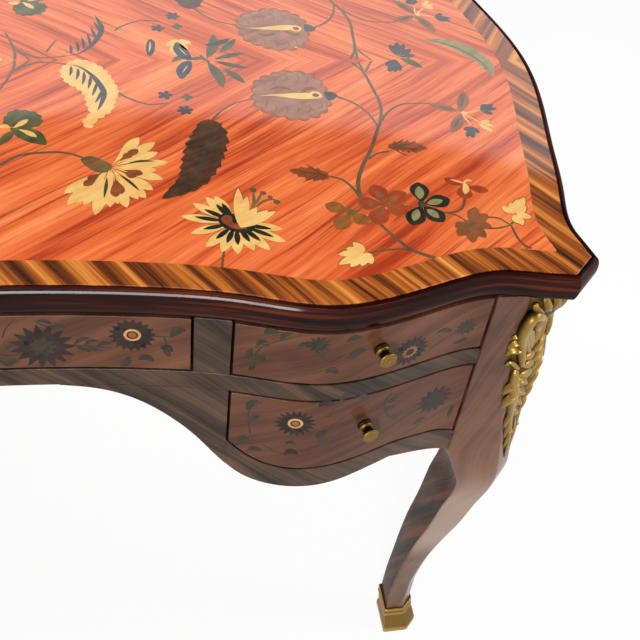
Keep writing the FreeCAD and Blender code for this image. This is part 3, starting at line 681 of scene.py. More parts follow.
# stems
inlay("stem", 0,
      stem([(6, 40), (13, 54), (14, 66), (8, 78), (0, 89)], 3.4),
      stem([(12, 72), (24, 66), (42, 62), (66, 64)]), stem([(12, 72), (33, 58), (53, 45), (91, 40)]),
      stem([(46, 52), (50, 47), (56, 40)], 3.0), stem([(118, 92), (126, 97), (147, 104), (168, 103)], 3.0),
      stem([(200, 55), (208, 62), (215, 72)], 3.0),
      stem([(0, 165), (21, 155), (53, 152), (70, 153.5), (84, 158)], 4.0),
      stem([(211, 121), (221, 111), (235, 103), (252, 99)], 3.0),
      stem([(222, 268), (223, 258), (225, 246)], 2.6),
      stem([(336, 96), (354, 103), (368, 113), (378, 126)], 3.4),
      stem([(361, 198), (358.5, 188), (358.5, 179), (363, 165), (371, 149), (377, 131), (381, 117),
            (380, 103), (373, 89), (364, 73), (354, 64), (335, 51), (318, 40)], 4.6),
      stem([(363, 70), (357, 58), (358.5, 48), (367, 40)], 3.4),
      stem([(365, 72), (373, 59.5), (384, 56), (396, 57)], 3.2),
      stem([(381, 121), (389, 111), (403, 104), (430, 103)], 3.2),
      stem([(368, 159), (377, 153.5), (389, 151)], 3.2),
      stem([(360, 197), (353, 188), (343, 180), (330, 176)], 3.4),
      stem([(401, 206), (407, 206.3), (412, 207)], 3.0), stem([(351, 213), (357, 211), (362, 207)], 3.0),
      stem([(465, 198), (462, 208), (453, 212), (442, 212)], 3.2),
      stem([(435, 258), (413, 250), (396, 238), (377, 221)], 4.6),
      stem([(413, 250), (395, 249), (366, 253)], 3.0), stem([(442, 212), (456, 215), (468, 222)], 2.6),
      stem([(483, 217), (498, 218), (511, 225)], 2.8), stem([(487, 228), (498, 228), (511, 225)], 2.8),
      stem([(532, 248), (526, 246), (518, 238), (511, 225)], 3.4),
      stem([(511, 224), (515, 220), (516, 214)], 2.6))
# feather leaf with its dark comb
inlay("yellow", 1, scalloped([(66, 64), (76, 59.5), (90, 61.6), (104, 69), (112, 79), (118, 90), (116, 99),
                              (112, 110), (104, 116), (97, 120), (90, 128), (84, 125), (83.5, 120),
                              (90, 113), (87, 106), (84, 94.5), (76, 87.5), (66, 82), (60, 72)], 30, 2.4))
inlay("slate", 2, petal([(66, 64), (79, 66.5), (90, 73.5), (98, 82), (104, 93), (101, 104), (97, 111)], 6.5,
                        0.6, 21),
      *[petal(marks, 3.6, 0.45) for marks in (
          [(71, 66), (71, 71), (70, 76)], [(78, 68), (78, 74), (76, 80)], [(84, 71), (84, 78), (82, 85)],
          [(91, 75), (90, 82), (88, 89)], [(97, 82), (95, 89), (92, 96)],
          [(102, 90), (99, 97), (95, 103)])])
# small dark buds and leaves at the top
inlay("slate", 1, rosette((165, 95), 8.5, 5, 0.45), rosette((185, 110), 9.0, 6, 0.5, 0.4),
      outlineOf([(147, 42), (146, 50), (149, 56), (154, 52), (155, 43), (151, 39)]),
      petal([(204, 45), (214, 44), (224, 41), (230, 38)], 9),
      outlineOf([(176, 71), (181, 63), (191, 61), (191, 70), (182, 79)]))
inlay("pale", 2, petal([(149, 52), (150, 46), (150, 41)], 2.2),
      petal([(182, 73), (185, 69), (188, 65)], 1.6))
inlay("green", 1, rosette((187, 97), 7.0, 4, 0.5), petal([(171, 62), (182, 57), (198, 60)], 9),
      petal([(186, 60), (200, 58), (210, 62)], 6), petal([(208, 62), (219, 76), (223, 88)], 13),
      petal([(214, 61), (232, 65), (249, 68)], 8), petal([(223, 68), (234, 75), (245, 83)], 10))
inlay("slate", 2, petal([(207, 62), (217, 75), (221, 84)], 1.2),
      petal([(218, 62), (232, 66), (243, 68)], 1.2), petal([(226, 70), (234, 76), (242, 81)], 1.2))
inlay("yellow", 1, *blades((178, 38), [(166, 46), (171, 52), (175, 55), (180, 52), (187, 50), (191, 44)],
                           7.5),
      *blades((287, 38), [(269, 47), (276, 48), (283, 48), (290, 48), (297, 48), (302, 46)], 7.5))
# green cluster at the left, with yellow slits
inlay("green", 1, scalloped([(3, 120), (11, 111), (24, 110), (39, 114), (42, 123), (34, 127), (21, 128),
                             (8, 125)], 12, 2.0),
      outlineOf([(10, 128), (18, 128), (30, 128), (42, 133), (47, 144), (38, 144), (26, 141), (16, 136)]),
      petal([(14, 130), (6, 138), (0, 145)], 10))
inlay("yellow", 2, petal([(13, 128), (20, 124), (28, 119)], 7, 0.6),
      petal([(18, 129), (27, 132), (37, 137)], 6.5, 0.6), petal([(10, 127), (4, 126), (-4, 127)], 6))
# carnation
carnation = [(139, 137), (155, 142), (158, 152), (168, 162), (156, 170), (163, 179), (153, 190), (146, 198),
             (138, 199), (127, 207.5), (118, 204), (110, 207), (103, 206), (95, 215), (84, 205), (77, 203),
             (67, 205), (64, 193.5)]
inlay("edge", 1, *blades((110, 167), carnation, 13.6, 0.04, 0.7))
inlay("yellow", 2, *blades((110, 167), carnation, 12.4, 0.05, 0.7))
inlay("rust", 3, *blades((110, 167), [(138, 149), (143, 174), (122, 194), (84, 186)], 9.5, 0.3, 0.75),
      *blades((112, 167), [(131, 153), (136, 177), (116, 197), (88, 180)], 9.5, 0.35, 0.75))
inlay("darkGreen", 3, petal([(128, 163), (141, 161), (155, 161)], 3.4),
      petal([(119, 174), (130, 182), (140, 191)], 3.4), petal([(107, 177), (106, 187), (104, 198)], 3.4))
inlay("olive", 3, outlineOf([(81, 159), (91, 156), (104, 160.5), (112, 166), (107, 172), (97, 172),
                             (86, 166)]))
inlay("rust", 4, petal([(88, 161), (95, 163), (102, 165)], 6))
# serrated dark leaf with its ribs
darkLeaf = [(208, 119), (210, 135), (205, 150), (200, 165), (190, 182), (162, 199)]
inlay("umber", 1, sawLeaf(darkLeaf, 47, 11, 0.2, 0.36))
inlay("slateBrown", 2, petal([(211, 122), (209, 137), (205, 150), (199, 167), (186, 187)], 4.2, 0.4, 21),
      *[petal([(x, y), (x + 7, y - 5.5), (x + 13 - k, y - 12 + k)], 1.8) for k, (x, y) in
        enumerate([(210, 133), (209, 142), (206, 151), (203, 160), (199, 169)])],
      *[petal([(x, y), (x - 6, y - 3), (x - 13 + k, y - 1)], 1.8) for k, (x, y) in
        enumerate([(210, 131), (209, 141), (205, 151), (201, 161), (196, 171), (189, 180)])])
# daisy with a tulip over it
daisy = [(193, 203), (181, 216), (191, 233), (206, 247), (222, 252), (238, 254), (254, 250), (270, 250),
         (286, 242), (283, 229), (206, 197), (215, 196)]
inlay("edge", 1, *blades((236, 223), daisy, 12.4, 0.1, 0.6))
inlay("yellow", 2, *blades((236, 223), daisy, 11.2, 0.12, 0.6))
inlay("ink", 3, *blades((236, 223), [(204, 209), (194, 216.5), (203, 229), (216, 239), (227, 243),
                                     (238, 245), (250, 242), (261, 241), (274, 237), (272, 229), (216, 204),
                                     (222, 203)], 5.6, 0.3, 0.5),
      outlineOf([(218, 219), (224, 213), (234, 214), (246, 220), (255, 228), (247, 233), (232, 231),
                 (222, 226)]))
inlay("rust", 4, outlineOf([(221, 219), (226, 215), (232, 217), (233, 222), (240, 225), (247, 228),
                            (238, 229), (228, 226)]))
inlay("edge", 4, *blades((240, 228), [(238, 186), (247, 195), (257, 206), (268, 209), (277, 210)], 11.5,
                         0.02, 0.5))
inlay("yellow", 5, *blades((240, 228), [(238, 188), (247, 196), (257, 207), (268, 210), (276, 211)], 10.3,
                           0.03, 0.5))
inlay("olive", 3, petal([(252, 212), (254, 200), (253, 190)], 3.2),
      petal([(253, 210), (262, 202), (272, 199), (279, 202)], 3.0),
      petal([(254, 206), (259, 198), (262, 192)], 3.0), disc((253, 190), 3.6), disc((263, 193), 3.2),
      disc((277, 202), 3.4), disc((270, 197), 2.6))
# ruffled flower with a yellow bar
ruffle = [(252, 93), (255, 81), (267, 75), (283, 71), (304, 72), (318, 79), (326, 89), (331, 103),
          (323, 114), (309, 119), (296, 120), (281, 117), (267, 113), (255, 105)]
inlay("edge", 1, scalloped(ruffle, 19, 4.4))
inlay("mauve", 2, scalloped([(254, 94), (257, 82), (268, 76.5), (284, 72.5), (303, 73.5), (317, 80),
                             (324, 90), (329, 102), (321, 112.5), (308, 117.5), (296, 118.5), (282, 115.5),
                             (268, 111.5), (257, 104)], 19, 4.4))
inlay("edge", 3, *[petal(marks, 1.5) for marks in (
    [(262, 79), (266, 82), (263, 86)], [(272, 75), (275, 80), (272, 84)], [(283, 73), (287, 78), (283, 82)],
    [(294, 73), (299, 78), (295, 83)], [(306, 76), (308, 81), (303, 85)],
    [(264, 104), (268, 101), (265, 109)], [(274, 104), (277, 108), (273, 113)],
    [(285, 105), (288, 110), (284, 115)], [(297, 105), (299, 110), (294, 115)],
    [(308, 104), (311, 109), (306, 114)], [(319, 101), (322, 106), (317, 110)])])
inlay("rust", 3, petal([(300, 93), (310, 88), (318, 90)], 6), petal([(270, 90), (280, 87), (292, 90)], 5))
inlay("yellow", 4, petal([(257, 96), (272, 95), (290, 95.5), (308, 96), (323, 96)], 12, 0.72, 21),
      disc((315.7, 95), 7.0))
inlay("rust", 5, disc((315.7, 95), 3.8))
inlay("slate", 3, outlineOf([(324, 93), (330, 91.5), (337, 94.5), (334, 99), (328, 100)]))
# buds at the top right
inlay("slate", 1, *blades((397, 57), [(390, 44), (397, 42), (404, 44), (411, 49), (415, 55)], 8, 0.1, 0.65),
      *blades((396, 58), [(386, 66), (389, 72), (395, 72), (400, 71)], 8, 0.1, 0.65))
inlay("green", 1, petal([(400, 58), (411, 62), (423, 68)], 11), petal([(404, 60), (411, 63), (418, 66)], 2))
# three brown leaves with threads and buds
inlay("edge", 1, petal([(429, 104), (442, 107), (459, 111)], 13.5, 0.45),
      petal([(464, 91), (463, 101), (460, 112)], 13.5, 0.45),
      petal([(451, 133), (457, 124), (461, 113)], 13.5, 0.5))
inlay("russet", 2, petal([(431, 104.5), (442, 107), (458, 111)], 11.5, 0.45),
      petal([(464, 93), (463, 101), (460, 111)], 11.5, 0.45),
      petal([(452, 131), (457, 124), (461, 114)], 11.5, 0.5))
inlay("slateBrown", 3, petal([(437, 106), (446, 108), (453, 110)], 3),
      petal([(463.5, 97), (462, 102), (461, 107)], 3), petal([(454, 128), (457, 123), (459, 118)], 3))
inlay("yellow", 3, petal([(461, 114), (470, 112), (481, 110)], 1.8),
      petal([(462, 114), (467, 120), (471, 125)], 1.6), petal([(462, 113), (472, 118), (480, 122)], 1.8),
      disc((464, 113), 3.6), *blades((478, 122), [(490, 121), (494, 126), (493, 132), (486, 129)], 5.5, 0.1,
                                     0.6))
inlay("slate", 2, *blades((480, 110), [(486, 104), (493, 104), (497, 108), (493, 114)], 7, 0.05, 0.6),
      *blades((472, 126), [(464, 130), (467, 137), (473, 138), (479, 133)], 6.5, 0.05, 0.6))
# serrated green leaf at the top edge
inlay("sage", 1, sawLeaf([(424, 40), (444, 42), (466, 50), (484, 62), (494, 77)], 26, 9, 0.3, 0.5))
inlay("green", 2, petal([(430, 40), (446, 44), (466, 52), (482, 63), (491, 73)], 3.2, 0.4, 21))
# thistle and rusty leaf
inlay("edge", 1, sawLeaf([(387, 147), (400, 146), (428, 148)], 27, 7, 0.45, 0.5))
inlay("rust", 2, sawLeaf([(388, 147), (400, 146), (426, 148)], 24, 7, 0.45, 0.5))
inlay("slateBrown", 3, *blades((389, 147), [(404, 139), (414, 143), (418, 149), (408, 156)], 1.6, 0.1))
inlay("edge", 1, sawLeaf([(330, 177), (314, 174), (289, 170)], 27, 5, 0.4, 0.42))
inlay("rust", 2, sawLeaf([(329, 176.5), (314, 174), (291, 170)], 24, 5, 0.4, 0.42))
inlay("umber", 3, petal([(327, 175.5), (312, 173), (296, 170.5)], 1.6),
      petal([(322, 175), (313, 168), (306, 164)], 1.3), petal([(320, 175), (311, 179), (303, 182)], 1.3))
# red, green and olive flowers at the lower right
inlay("edge", 1, *roundPetals((384, 204), [(374, 184), (406, 192), (408, 213), (375, 225), (357, 203)],
                              20.5))
inlay("red", 2, *roundPetals((384, 204), [(374.5, 185), (405, 192.5), (407, 212.5), (375.5, 224),
                                          (358.5, 203)], 19))
inlay("russet", 3, *roundPetals((384, 204), [(377, 190), (399, 196), (401, 210), (378, 218), (365, 203)],
                                8))
inlay("rust", 4, disc((384, 204), 4.5))
inlay("edge", 1, *roundPetals((351, 212), [(325, 204), (337, 229), (368, 224)], 17))
inlay("ochreBrown", 2, *roundPetals((351, 212), [(326.5, 204.5), (338, 228), (366.5, 223)], 15.5))
inlay("olive", 3, disc((351, 212), 5.0))
inlay("ink", 1, *roundPetals((422, 204), [(418, 182), (450, 199), (444, 222), (412, 225)], 20))
inlay("sage", 2, petal([(420, 199), (419.5, 192), (419, 186)], 9.5),
      petal([(427, 203.5), (434, 202), (443, 200)], 9), petal([(427, 209), (433, 213), (439, 218)], 9),
      petal([(418, 209), (416, 215), (414, 221)], 8.5))
inlay("darkGreen", 3, disc((422, 204), 4.5))
# winged orange flower
inlay("red", 1, *roundPetals((464, 186), [(444, 178), (489, 191)], 12),
      *roundPetals((464, 184), [(465, 199)], 17))
inlay("yellow", 2, petal([(450, 179), (457, 181), (464, 183)], 3.2),
      petal([(464, 181), (466, 188), (465, 194)], 7, 0.6), petal([(463, 182), (468, 180), (472, 181)], 3))
# brown cluster and yellow leafy flowers
inlay("edge", 1, *blades((470, 223), [(476, 207), (488, 214), (492, 226), (486, 238), (473, 243),
                                      (458, 236), (455, 227)], 12.5, 0.05, 0.55))
inlay("russet", 2, *blades((470, 223), [(476, 208), (487, 215), (490.5, 226), (485, 237), (473, 242),
                                        (459, 235), (456, 227)], 11, 0.08, 0.55))
inlay("olive", 3, rosette((470, 223), 6.5, 5, 0.45))
inlay("edge", 1, *blades((515, 214), [(501, 206), (510, 202), (518, 198), (525, 196), (527, 206),
                                      (533, 217), (524, 226), (517, 224)], 10.5, 0.05, 0.5))
inlay("yellow", 2, *blades((515, 214), [(501.5, 206), (510.5, 202.5), (518, 199), (524.5, 197), (526, 206),
                                        (532, 217), (523.5, 225), (517, 223)], 9.2, 0.07, 0.5))
inlay("edge", 1, *blades((366, 252), [(352, 241), (345, 247), (337, 253), (337, 265), (350, 268),
                                      (362, 267), (373, 265), (370, 258)], 10.5, 0.05, 0.5))
inlay("yellow", 2, *blades((366, 252), [(353, 242), (346, 248), (338.5, 254), (338.5, 264.5), (350.5, 267),
                                        (362, 266), (372, 264), (369, 258)], 9.2, 0.07, 0.5))


# a flower and a bud on the middle line, which the photograph doesn't reach

def aroundMiddle(count, reach, width, start, y, turn=0.0):
    # petals round a point of the middle line
    share = np.linspace(0, 1, 13)
    path = start + (reach - start) * share
    half = width / 2 * np.sin(math.pi * share ** 1.2) ** 0.8
    ring = []
    for angle in np.linspace(0, 2 * math.pi, count, endpoint=False) + turn:
        way = np.array([math.cos(angle), math.sin(angle)])
        side = np.array([-way[1], way[0]])
        body = path[:, None] * way
        ring.append(np.vstack([body + half[:, None] * side, (body - half[:, None] * side)[::-1]]) + [0, y])
    return ring


# wood, layer, petals, reach, width and start
middleFlower = {"flower": (("edge", 1, 12, 54, 22, 8), ("yellow", 2, 12, 53, 20.5, 9),
                           ("ink", 3, 12, 36, 7, 10), ("rust", 4, 8, 15, 12, 0)),
                "bud": (("edge", 1, 6, 31, 17, 2), ("red", 2, 6, 30, 15.5, 3), ("yellow", 3, 6, 16, 5, 3)),
                "budY": -215.0, "budTurn": math.pi / 6}
for wood, layer, *petals in middleFlower["flower"]:
    inlay(wood + "Middle", layer, *aroundMiddle(*petals, middleY))
for wood, layer, *petals in middleFlower["bud"]:
    inlay(wood + "Middle", layer, *aroundMiddle(*petals, middleFlower["budY"], middleFlower["budTurn"]))

# dark tone, light tone and turn of the grain
woods = {
    "stem": ((0.085, 0.055, 0.028), (0.17, 0.105, 0.05), 60),
    "yellow": ((0.8, 0.4, 0.1), (0.93, 0.59, 0.2), 35),
    "slate": ((0.02, 0.024, 0.03), (0.065, 0.07, 0.085), 20),
    "pale": ((0.5, 0.42, 0.3), (0.68, 0.56, 0.4), 10),
    "green": ((0.04, 0.05, 0.014), (0.13, 0.12, 0.045), 50),
    "sage": ((0.16, 0.15, 0.05), (0.36, 0.3, 0.12), 40),
    "darkGreen": ((0.02, 0.028, 0.01), (0.07, 0.075, 0.025), 30),
    "olive": ((0.09, 0.06, 0.02), (0.21, 0.13, 0.045), 30),
    "rust": ((0.15, 0.035, 0.01), (0.34, 0.085, 0.022), 30),
    "russet": ((0.16, 0.05, 0.018), (0.34, 0.11, 0.04), 50),
    "ochreBrown": ((0.2, 0.07, 0.014), (0.36, 0.14, 0.03), 50),
    "umber": ((0.028, 0.014, 0.007), (0.12, 0.05, 0.022), 30),
    "slateBrown": ((0.03, 0.024, 0.02), (0.09, 0.06, 0.04), 30),
    "mauve": ((0.24, 0.095, 0.06), (0.42, 0.19, 0.125), 30),
    "red": ((0.26, 0.03, 0.008), (0.42, 0.065, 0.016), 30),
    "ink": ((0.008, 0.008, 0.006), (0.03, 0.026, 0.016), 30),
    "edge": ((0.22, 0.07, 0.02), (0.34, 0.11, 0.035), 30)}
layerStep = (top["surface"] - top["field"]) / 6


def prism(shape, height, floor):
    # closed flat prism: the outline at its height, the same outline at the floor, and quads between
    count = len(shape)
    area = np.sum(shape[:, 0] * np.roll(shape[:, 1], -1) - shape[:, 1] * np.roll(shape[:, 0], -1))
    ring = shape if area > 0 else shape[::-1]
    points = np.vstack([np.column_stack([ring, np.full(count, level)]) for level in (height, floor)])
    i = np.arange(count)
    j = (i + 1) % count
    lids = [i.tolist(), (i[::-1] + count).tolist()]
    return points, lids + np.stack([i + count, j + count, j, i], 1).tolist()


def mirrored(shape, onMiddle):
    # a shape's copies on the other quarters; what lies across a middle line isn't doubled there
    hands = (1,) if onMiddle and abs(shape[:, 0].mean()) < 400 else (1, -1)
    depths = (1, -1) if shape[:, 1].max() < middleY + 1 else (1,)
    return [shape * [hand, depth] + [0, middleY * (1 - depth)] for hand in hands for depth in depths]


for wood, colours in woods.items():
    shapes = []
    for index, (name, layer, shape) in enumerate(inlays):
        if name in (wood, wood + "Middle"):
            # a height of its own, so that no two neighbours share a plane
            height = top["field"] + layerStep * (layer + 0.2 + index % 8 / 10)
            shapes += [prism(copy, height, top["field"] - top["inlayDepth"])
                       for copy in mirrored(shape, name != wood)]
    points, faces = gathered(shapes)
    addPiece(wood + "Inlays", points, faces, inlayWood(wood + "Inlay", *colours))
print("marquetry laid:", len(inlays), "shapes")


# Front frame, drawer fronts and back

front = {"face": 6, "depth": 22, "panel": 20, "board": 20, "top": 745, "row": 671.5, "rail": 649,
         "gap": 2.6,
         "middle": 229.5, "pillar": 263, "end": 518, "arch": 105, "sideDrop": 78.5, "extraDrop": 34.5,
         "band": 31,
         "corner": 20, "bevel": 0.7}
# the kneehole's arch and the apron, then the bottom edge of the lower drawer: shares of run and drop
archRun = (0, 0.08, 0.175, 0.24, 0.31, 0.355, 0.393, 0.43, 0.475, 0.575, 0.67, 0.75, 0.815)
archDrop = (0, 0.035, 0.15, 0.30, 0.525, 0.71, 0.845, 0.935, 0.985, 1, 0.97, 0.915, 0.875)
sweepRun = (0, 0.08, 0.165, 0.25, 0.34, 0.46, 0.58, 0.71, 0.82, 0.90, 1)
sweepDrop = (0, 0.58, 0.90, 1, 0.98, 0.885, 0.76, 0.665, 0.75, 0.81, 1)


def smoothOver(xs, points):
    # heights of a smooth curve through points, at given places
    points = np.array(points, float)
    first, last = points[1] - points[0], points[-1] - points[-2]
    row = splineRow(points, first / np.linalg.norm(first), last / np.linalg.norm(last), 300)[0]
    return np.interp(xs, row[:, 0], row[:, 1])


apronFoot = front["arch"] + (front["end"] - front["arch"]) * archRun[-1]


def apronLine(xs):
    # lower edge of the front: the curve through its shares, then a straight run to the leg
    run = front["end"] - front["arch"]
    drop = front["sideDrop"] + front["extraDrop"] + front["band"]
    points = [(front["arch"] + run * a, front["rail"] - drop * b) for a, b in zip(archRun, archDrop)]
    foot = points[-1][1]
    last = np.interp(xs, [apronFoot, front["end"]], [foot, foot - front["corner"]])
    return np.where(xs > apronFoot, last, smoothOver(xs, points))


def sweepLine(xs):
    # bottom edge of the lower drawer's opening
    run = front["end"] - front["pillar"]
    low = front["rail"] - front["sideDrop"]
    points = [(front["pillar"] + run * a, low - front["extraDrop"] * b)
              for a, b in zip(sweepRun, sweepDrop)]
    return smoothOver(xs, points)


def bentBoard(name, xs, low, high, outer, inner, finish, body="table", mirror=(1, 1), stands=()):
    # board between two heights for each X and two offsets of the bent front: a ring of four
    # points carried along X, with its ends closed
    xs = np.asarray(xs, float)
    low, high = np.broadcast_to(low, xs.shape), np.broadcast_to(high, xs.shape)
    yOut, yIn = frontLine(xs, outer), frontLine(xs, inner)
    ring = [np.column_stack([xs, y, z]) for y, z in ((yOut, low), (yOut, high), (yIn, high), (yIn, low))]
    points = np.stack(ring, 1).reshape(-1, 3)
    faces = [face[::-1] for face in cappedFaces(len(xs), 4)]
    uv = np.column_stack([frontLength(points[:, 0]), points[:, 2]])
    points, faces = mirrorPoints(points, faces, *mirror)
    return addPiece(name, points, faces, finish, body, uv=uv, bevel=front["bevel"], stands=stands)


def across(low, high, step=4.0):
    # even places from low to high
    return np.linspace(low, high, max(2, int((high - low) / step) + 1))


face, inside = front["face"], front["face"] - front["depth"]
end, pillar, middle = front["end"], front["pillar"], front["middle"]
bentBoard("frontRail", across(-end, end), front["rail"], front["row"], face, inside, railVeneer,
          stands=["front_rail"])
for hand, side in ((1, "right"), (-1, "left")):
    xs = across(middle, pillar)
    bentBoard("frontStile_" + side, xs, front["row"], front["top"], face, inside, railVeneer,
              mirror=(hand, 1), stands=["front_stile_" + side])
    xs = across(front["arch"] + 0.5, pillar, 3.0)
    bentBoard("frontBracket_" + side, xs, np.minimum(apronLine(xs), front["rail"] - 0.1), front["rail"],
              face, inside, railVeneer, mirror=(hand, 1), stands=["front_bracket_" + side])
    xs = np.unique(np.concatenate([across(pillar, end, 3.0), [apronFoot]]))
    bentBoard("frontApron_" + side, xs, apronLine(xs), sweepLine(xs), face, inside, railVeneer,
              mirror=(hand, 1), stands=["front_apron_" + side])
    back = face - front["panel"]
    xs = np.unique(np.concatenate([across(front["arch"] + 0.5, end, 4.0), [apronFoot]]))
    bentBoard("backFlank_" + side, xs, np.minimum(apronLine(xs), front["rail"] - 0.1), front["rail"], face,
              back, railVeneer, mirror=(hand, -1), stands=["back_flank_" + side])
bentBoard("backFrieze", across(-end, end), front["rail"], front["top"], face, face - front["panel"],
          drawerVeneer, mirror=(1, -1), stands=["back_frieze"])

sidePanel = {"half": 279, "low": 503, "arch": 42, "columns": 140,
             "runs": (-1, -0.86, -0.55, 0, 0.55, 0.86, 1),
             "rises": (0, 0.45, 0.85, 1, 0.85, 0.45, 0)}


def bentSide():
    # the same ring of four points carried along the side's curve, over a long shallow arch
    ys = np.linspace(sidePanel["half"], -sidePanel["half"], sidePanel["columns"])
    low = smoothOver(-ys, [(sidePanel["half"] * a, sidePanel["low"] + sidePanel["arch"] * b)
                           for a, b in zip(sidePanel["runs"], sidePanel["rises"])])
    high = np.full(len(ys), front["top"])
    outer, inner = [np.interp(ys, row[:, 1], row[:, 0])
                    for row in (sideRow + sidePush * offset for offset in (face, face - front["panel"]))]
    ring = [np.column_stack([x, ys, z]) for x, z in ((outer, low), (outer, high), (inner, high),
                                                     (inner, low))]
    points = np.stack(ring, 1).reshape(-1, 3)
    return *turnedOutwards(points + [0, middleY, 0], cappedFaces(len(ys), 4)), points[:, 1:]


sidePoints, sideFaces, sideUv = bentSide()
for hand, name in ((1, "right"), (-1, "left")):
    points, faces = mirrorPoints(sidePoints, sideFaces, hand)
    addPiece("sidePanel_" + name, points, faces, railVeneer, uv=sideUv, bevel=front["bevel"],
             stands=["side_panel_" + name])

gap = front["gap"]
deep = face - front["board"]
bentBoard("centreDrawerFront", across(-middle + gap, middle - gap), front["row"] + gap, front["top"] - gap,
          face, deep, drawerVeneer, "centre_drawer", stands=["centre_drawer_front"])
for hand, side in ((1, "right"), (-1, "left")):
    xs = across(pillar + gap, end - gap)
    bentBoard("upperDrawerFront_" + side, xs, front["row"] + gap, front["top"] - gap, face, deep,
              drawerVeneer,
              "upper_drawer_" + side, (hand, 1), ["upper_drawer_%s_front" % side])
    bentBoard("lowerDrawerFront_" + side, xs, sweepLine(xs) + gap, front["rail"] - gap, face, deep,
              drawerVeneer,
              "lower_drawer_" + side, (hand, 1), ["lower_drawer_%s_front" % side])
print("fronts made")


# Marquetry of the drawers, in shapes that are two rows of points side by side, bent with the front

onDrawer = {"lift": 0.03, "layer": 0.03, "sink": 0.3, "columns": 5}


def onFront(marks):
    # where the lines of sight meet the bent front, as x and z: the depth is corrected until it fits
    way, place = sightLines(marks), np.array(camera["place"]) / mm
    reach = np.full(len(way), 600.0)
    for attempt in range(40):
        reach = (frontLine(place[0] + way[:, 0] * reach, front["face"]) - place[1]) / way[:, 1]
    return np.column_stack([place[0] + way[:, 0] * reach, place[2] + way[:, 2] * reach])


def frontLeaf(marks, width):
    return petal(marks, width, onto=onFront)


def frontStem(marks, width=1.6):
    path = smooth(onFront(marks))
    return along(path, np.linspace(width, width * 0.6, len(path)) / 2)


def chordDisc(mark, radius, count=15):
    # disc as a row of chords
    turn = np.linspace(0, math.pi, count)
    path = onFront(mark)[0] + np.column_stack([-np.cos(turn) * radius, np.zeros(count)])
    half = np.column_stack([np.zeros(count), np.sin(turn) * radius + 0.02])
    return np.vstack([path + half, (path - half)[::-1]])


def star(mark, radius, points, width, inner, turn=0.0):
    # a disc with pointed petals all round
    centre = onFront(mark)[0]
    share = np.linspace(0, 1, 9)
    shapes = [chordDisc(mark, radius * inner)]
    for a in np.linspace(0, 2 * math.pi, points, endpoint=False) + turn:
        way = np.array([math.cos(a), math.sin(a)])
        path = centre + way * (radius * (0.3 + 0.7 * share))[:, None]
        shapes.append(along(path, width / 2 * (1 - share ** 2.2) + 0.05))
    return shapes


drawerInlays = []


def lay(body, wood, layer, *shapes):
    # shapes of one wood and layer on the front of a drawer
    drawerInlays.extend((body, wood, layer, shape) for shape in shapes)


lay("centre_drawer", "moss", 0, frontStem([(34, 321), (45, 326), (60, 331)]),
    frontStem([(0, 354), (8, 355.5), (20, 354)]), frontStem([(68, 345), (90, 346), (112, 348)]),
    frontStem([(148, 336), (160, 336.5), (172, 337)]), frontStem([(164, 337), (166, 343), (167, 349)]),
    frontStem([(2, 338), (6, 328), (14, 320)]))
lay("centre_drawer", "moss", 1, *[frontLeaf(marks, 4.6) for marks in (
    [(74, 345), (80, 340), (90, 337.5)], [(84, 346), (90, 341), (99, 341)],
    [(76, 346), (84, 349), (92, 352)], [(88, 347), (96, 350), (103, 350)],
    [(96, 347), (103, 343), (112, 344)], [(36, 321), (44, 321), (52, 324)],
    [(50, 327), (58, 326), (66, 328)], [(4, 350), (10, 346), (16, 345)])],
    frontLeaf([(171, 337), (177, 331), (186, 330)], 9),
    frontLeaf([(138, 360), (146, 357), (154, 361.5)], 8), frontLeaf([(0, 360), (6, 364), (14, 366)], 5),
    frontLeaf([(160, 349), (167, 347), (173, 352)], 7), frontLeaf([(166, 346), (167, 352), (170, 357)], 7),
    frontLeaf([(120, 366), (126, 363), (130, 356)], 8), frontLeaf([(5, 365), (13, 361), (21, 362)], 8))
lay("centre_drawer", "shade", 2, *star((42.5, 346.5), 29, 15, 9.5, 0.6),
    *star((132, 335.5), 21.5, 18, 8, 0.8, 0.1))
lay("centre_drawer", "moss", 3, *star((42.5, 347), 13, 9, 6, 0.6))
lay("centre_drawer", "ochre", 4, chordDisc((132.3, 335), 7.8))
lay("centre_drawer", "shade", 5, chordDisc((132.3, 335), 5.2))
lay("centre_drawer", "ochreDark", 6, chordDisc((132.3, 335), 3.6))
lay("upper_drawer_right", "moss", 0, frontStem([(254, 356), (262, 347), (276, 342), (292, 338),
                                                (306, 334)]),
    frontStem([(256, 347), (262, 344), (270, 346)]), frontStem([(318, 352), (330, 362), (342, 356)]),
    frontStem([(346, 358), (360, 352), (380, 345)]), frontStem([(430, 349), (446, 338), (462, 330)]))
lay("upper_drawer_right", "moss", 1, *[frontLeaf(marks, width) for marks, width in (
    ([(253, 362), (249, 355), (252, 348)], 7), ([(254, 360), (260, 357), (266, 362)], 7),
    ([(253, 362), (252, 367), (249, 371)], 6), ([(264, 334), (271, 331), (280, 333)], 8),
    ([(256, 345), (262, 341), (269, 343)], 5), ([(280, 341), (285, 335), (293, 333)], 5),
    ([(325, 374), (331, 370), (339, 373)], 8), ([(350, 360), (357, 352), (366, 350)], 10),
    ([(346, 342), (354, 338), (363, 337)], 7), ([(436, 334), (443, 330), (452, 331)], 6),
    ([(452, 344), (460, 341), (468, 338)], 6), ([(298, 347), (305, 344), (311, 346)], 5))],
    *star((319, 345), 12, 11, 4, 0.5), *star((466, 327), 12, 11, 5, 0.5))
lay("upper_drawer_right", "shade", 2, *star((410.5, 351), 19.5, 17, 7.5, 0.75))
lay("upper_drawer_right", "ochreDark", 3, *star((410, 352), 9, 12, 3.4, 0.72))
lay("upper_drawer_right", "shade", 4, chordDisc((410, 352), 4.6))
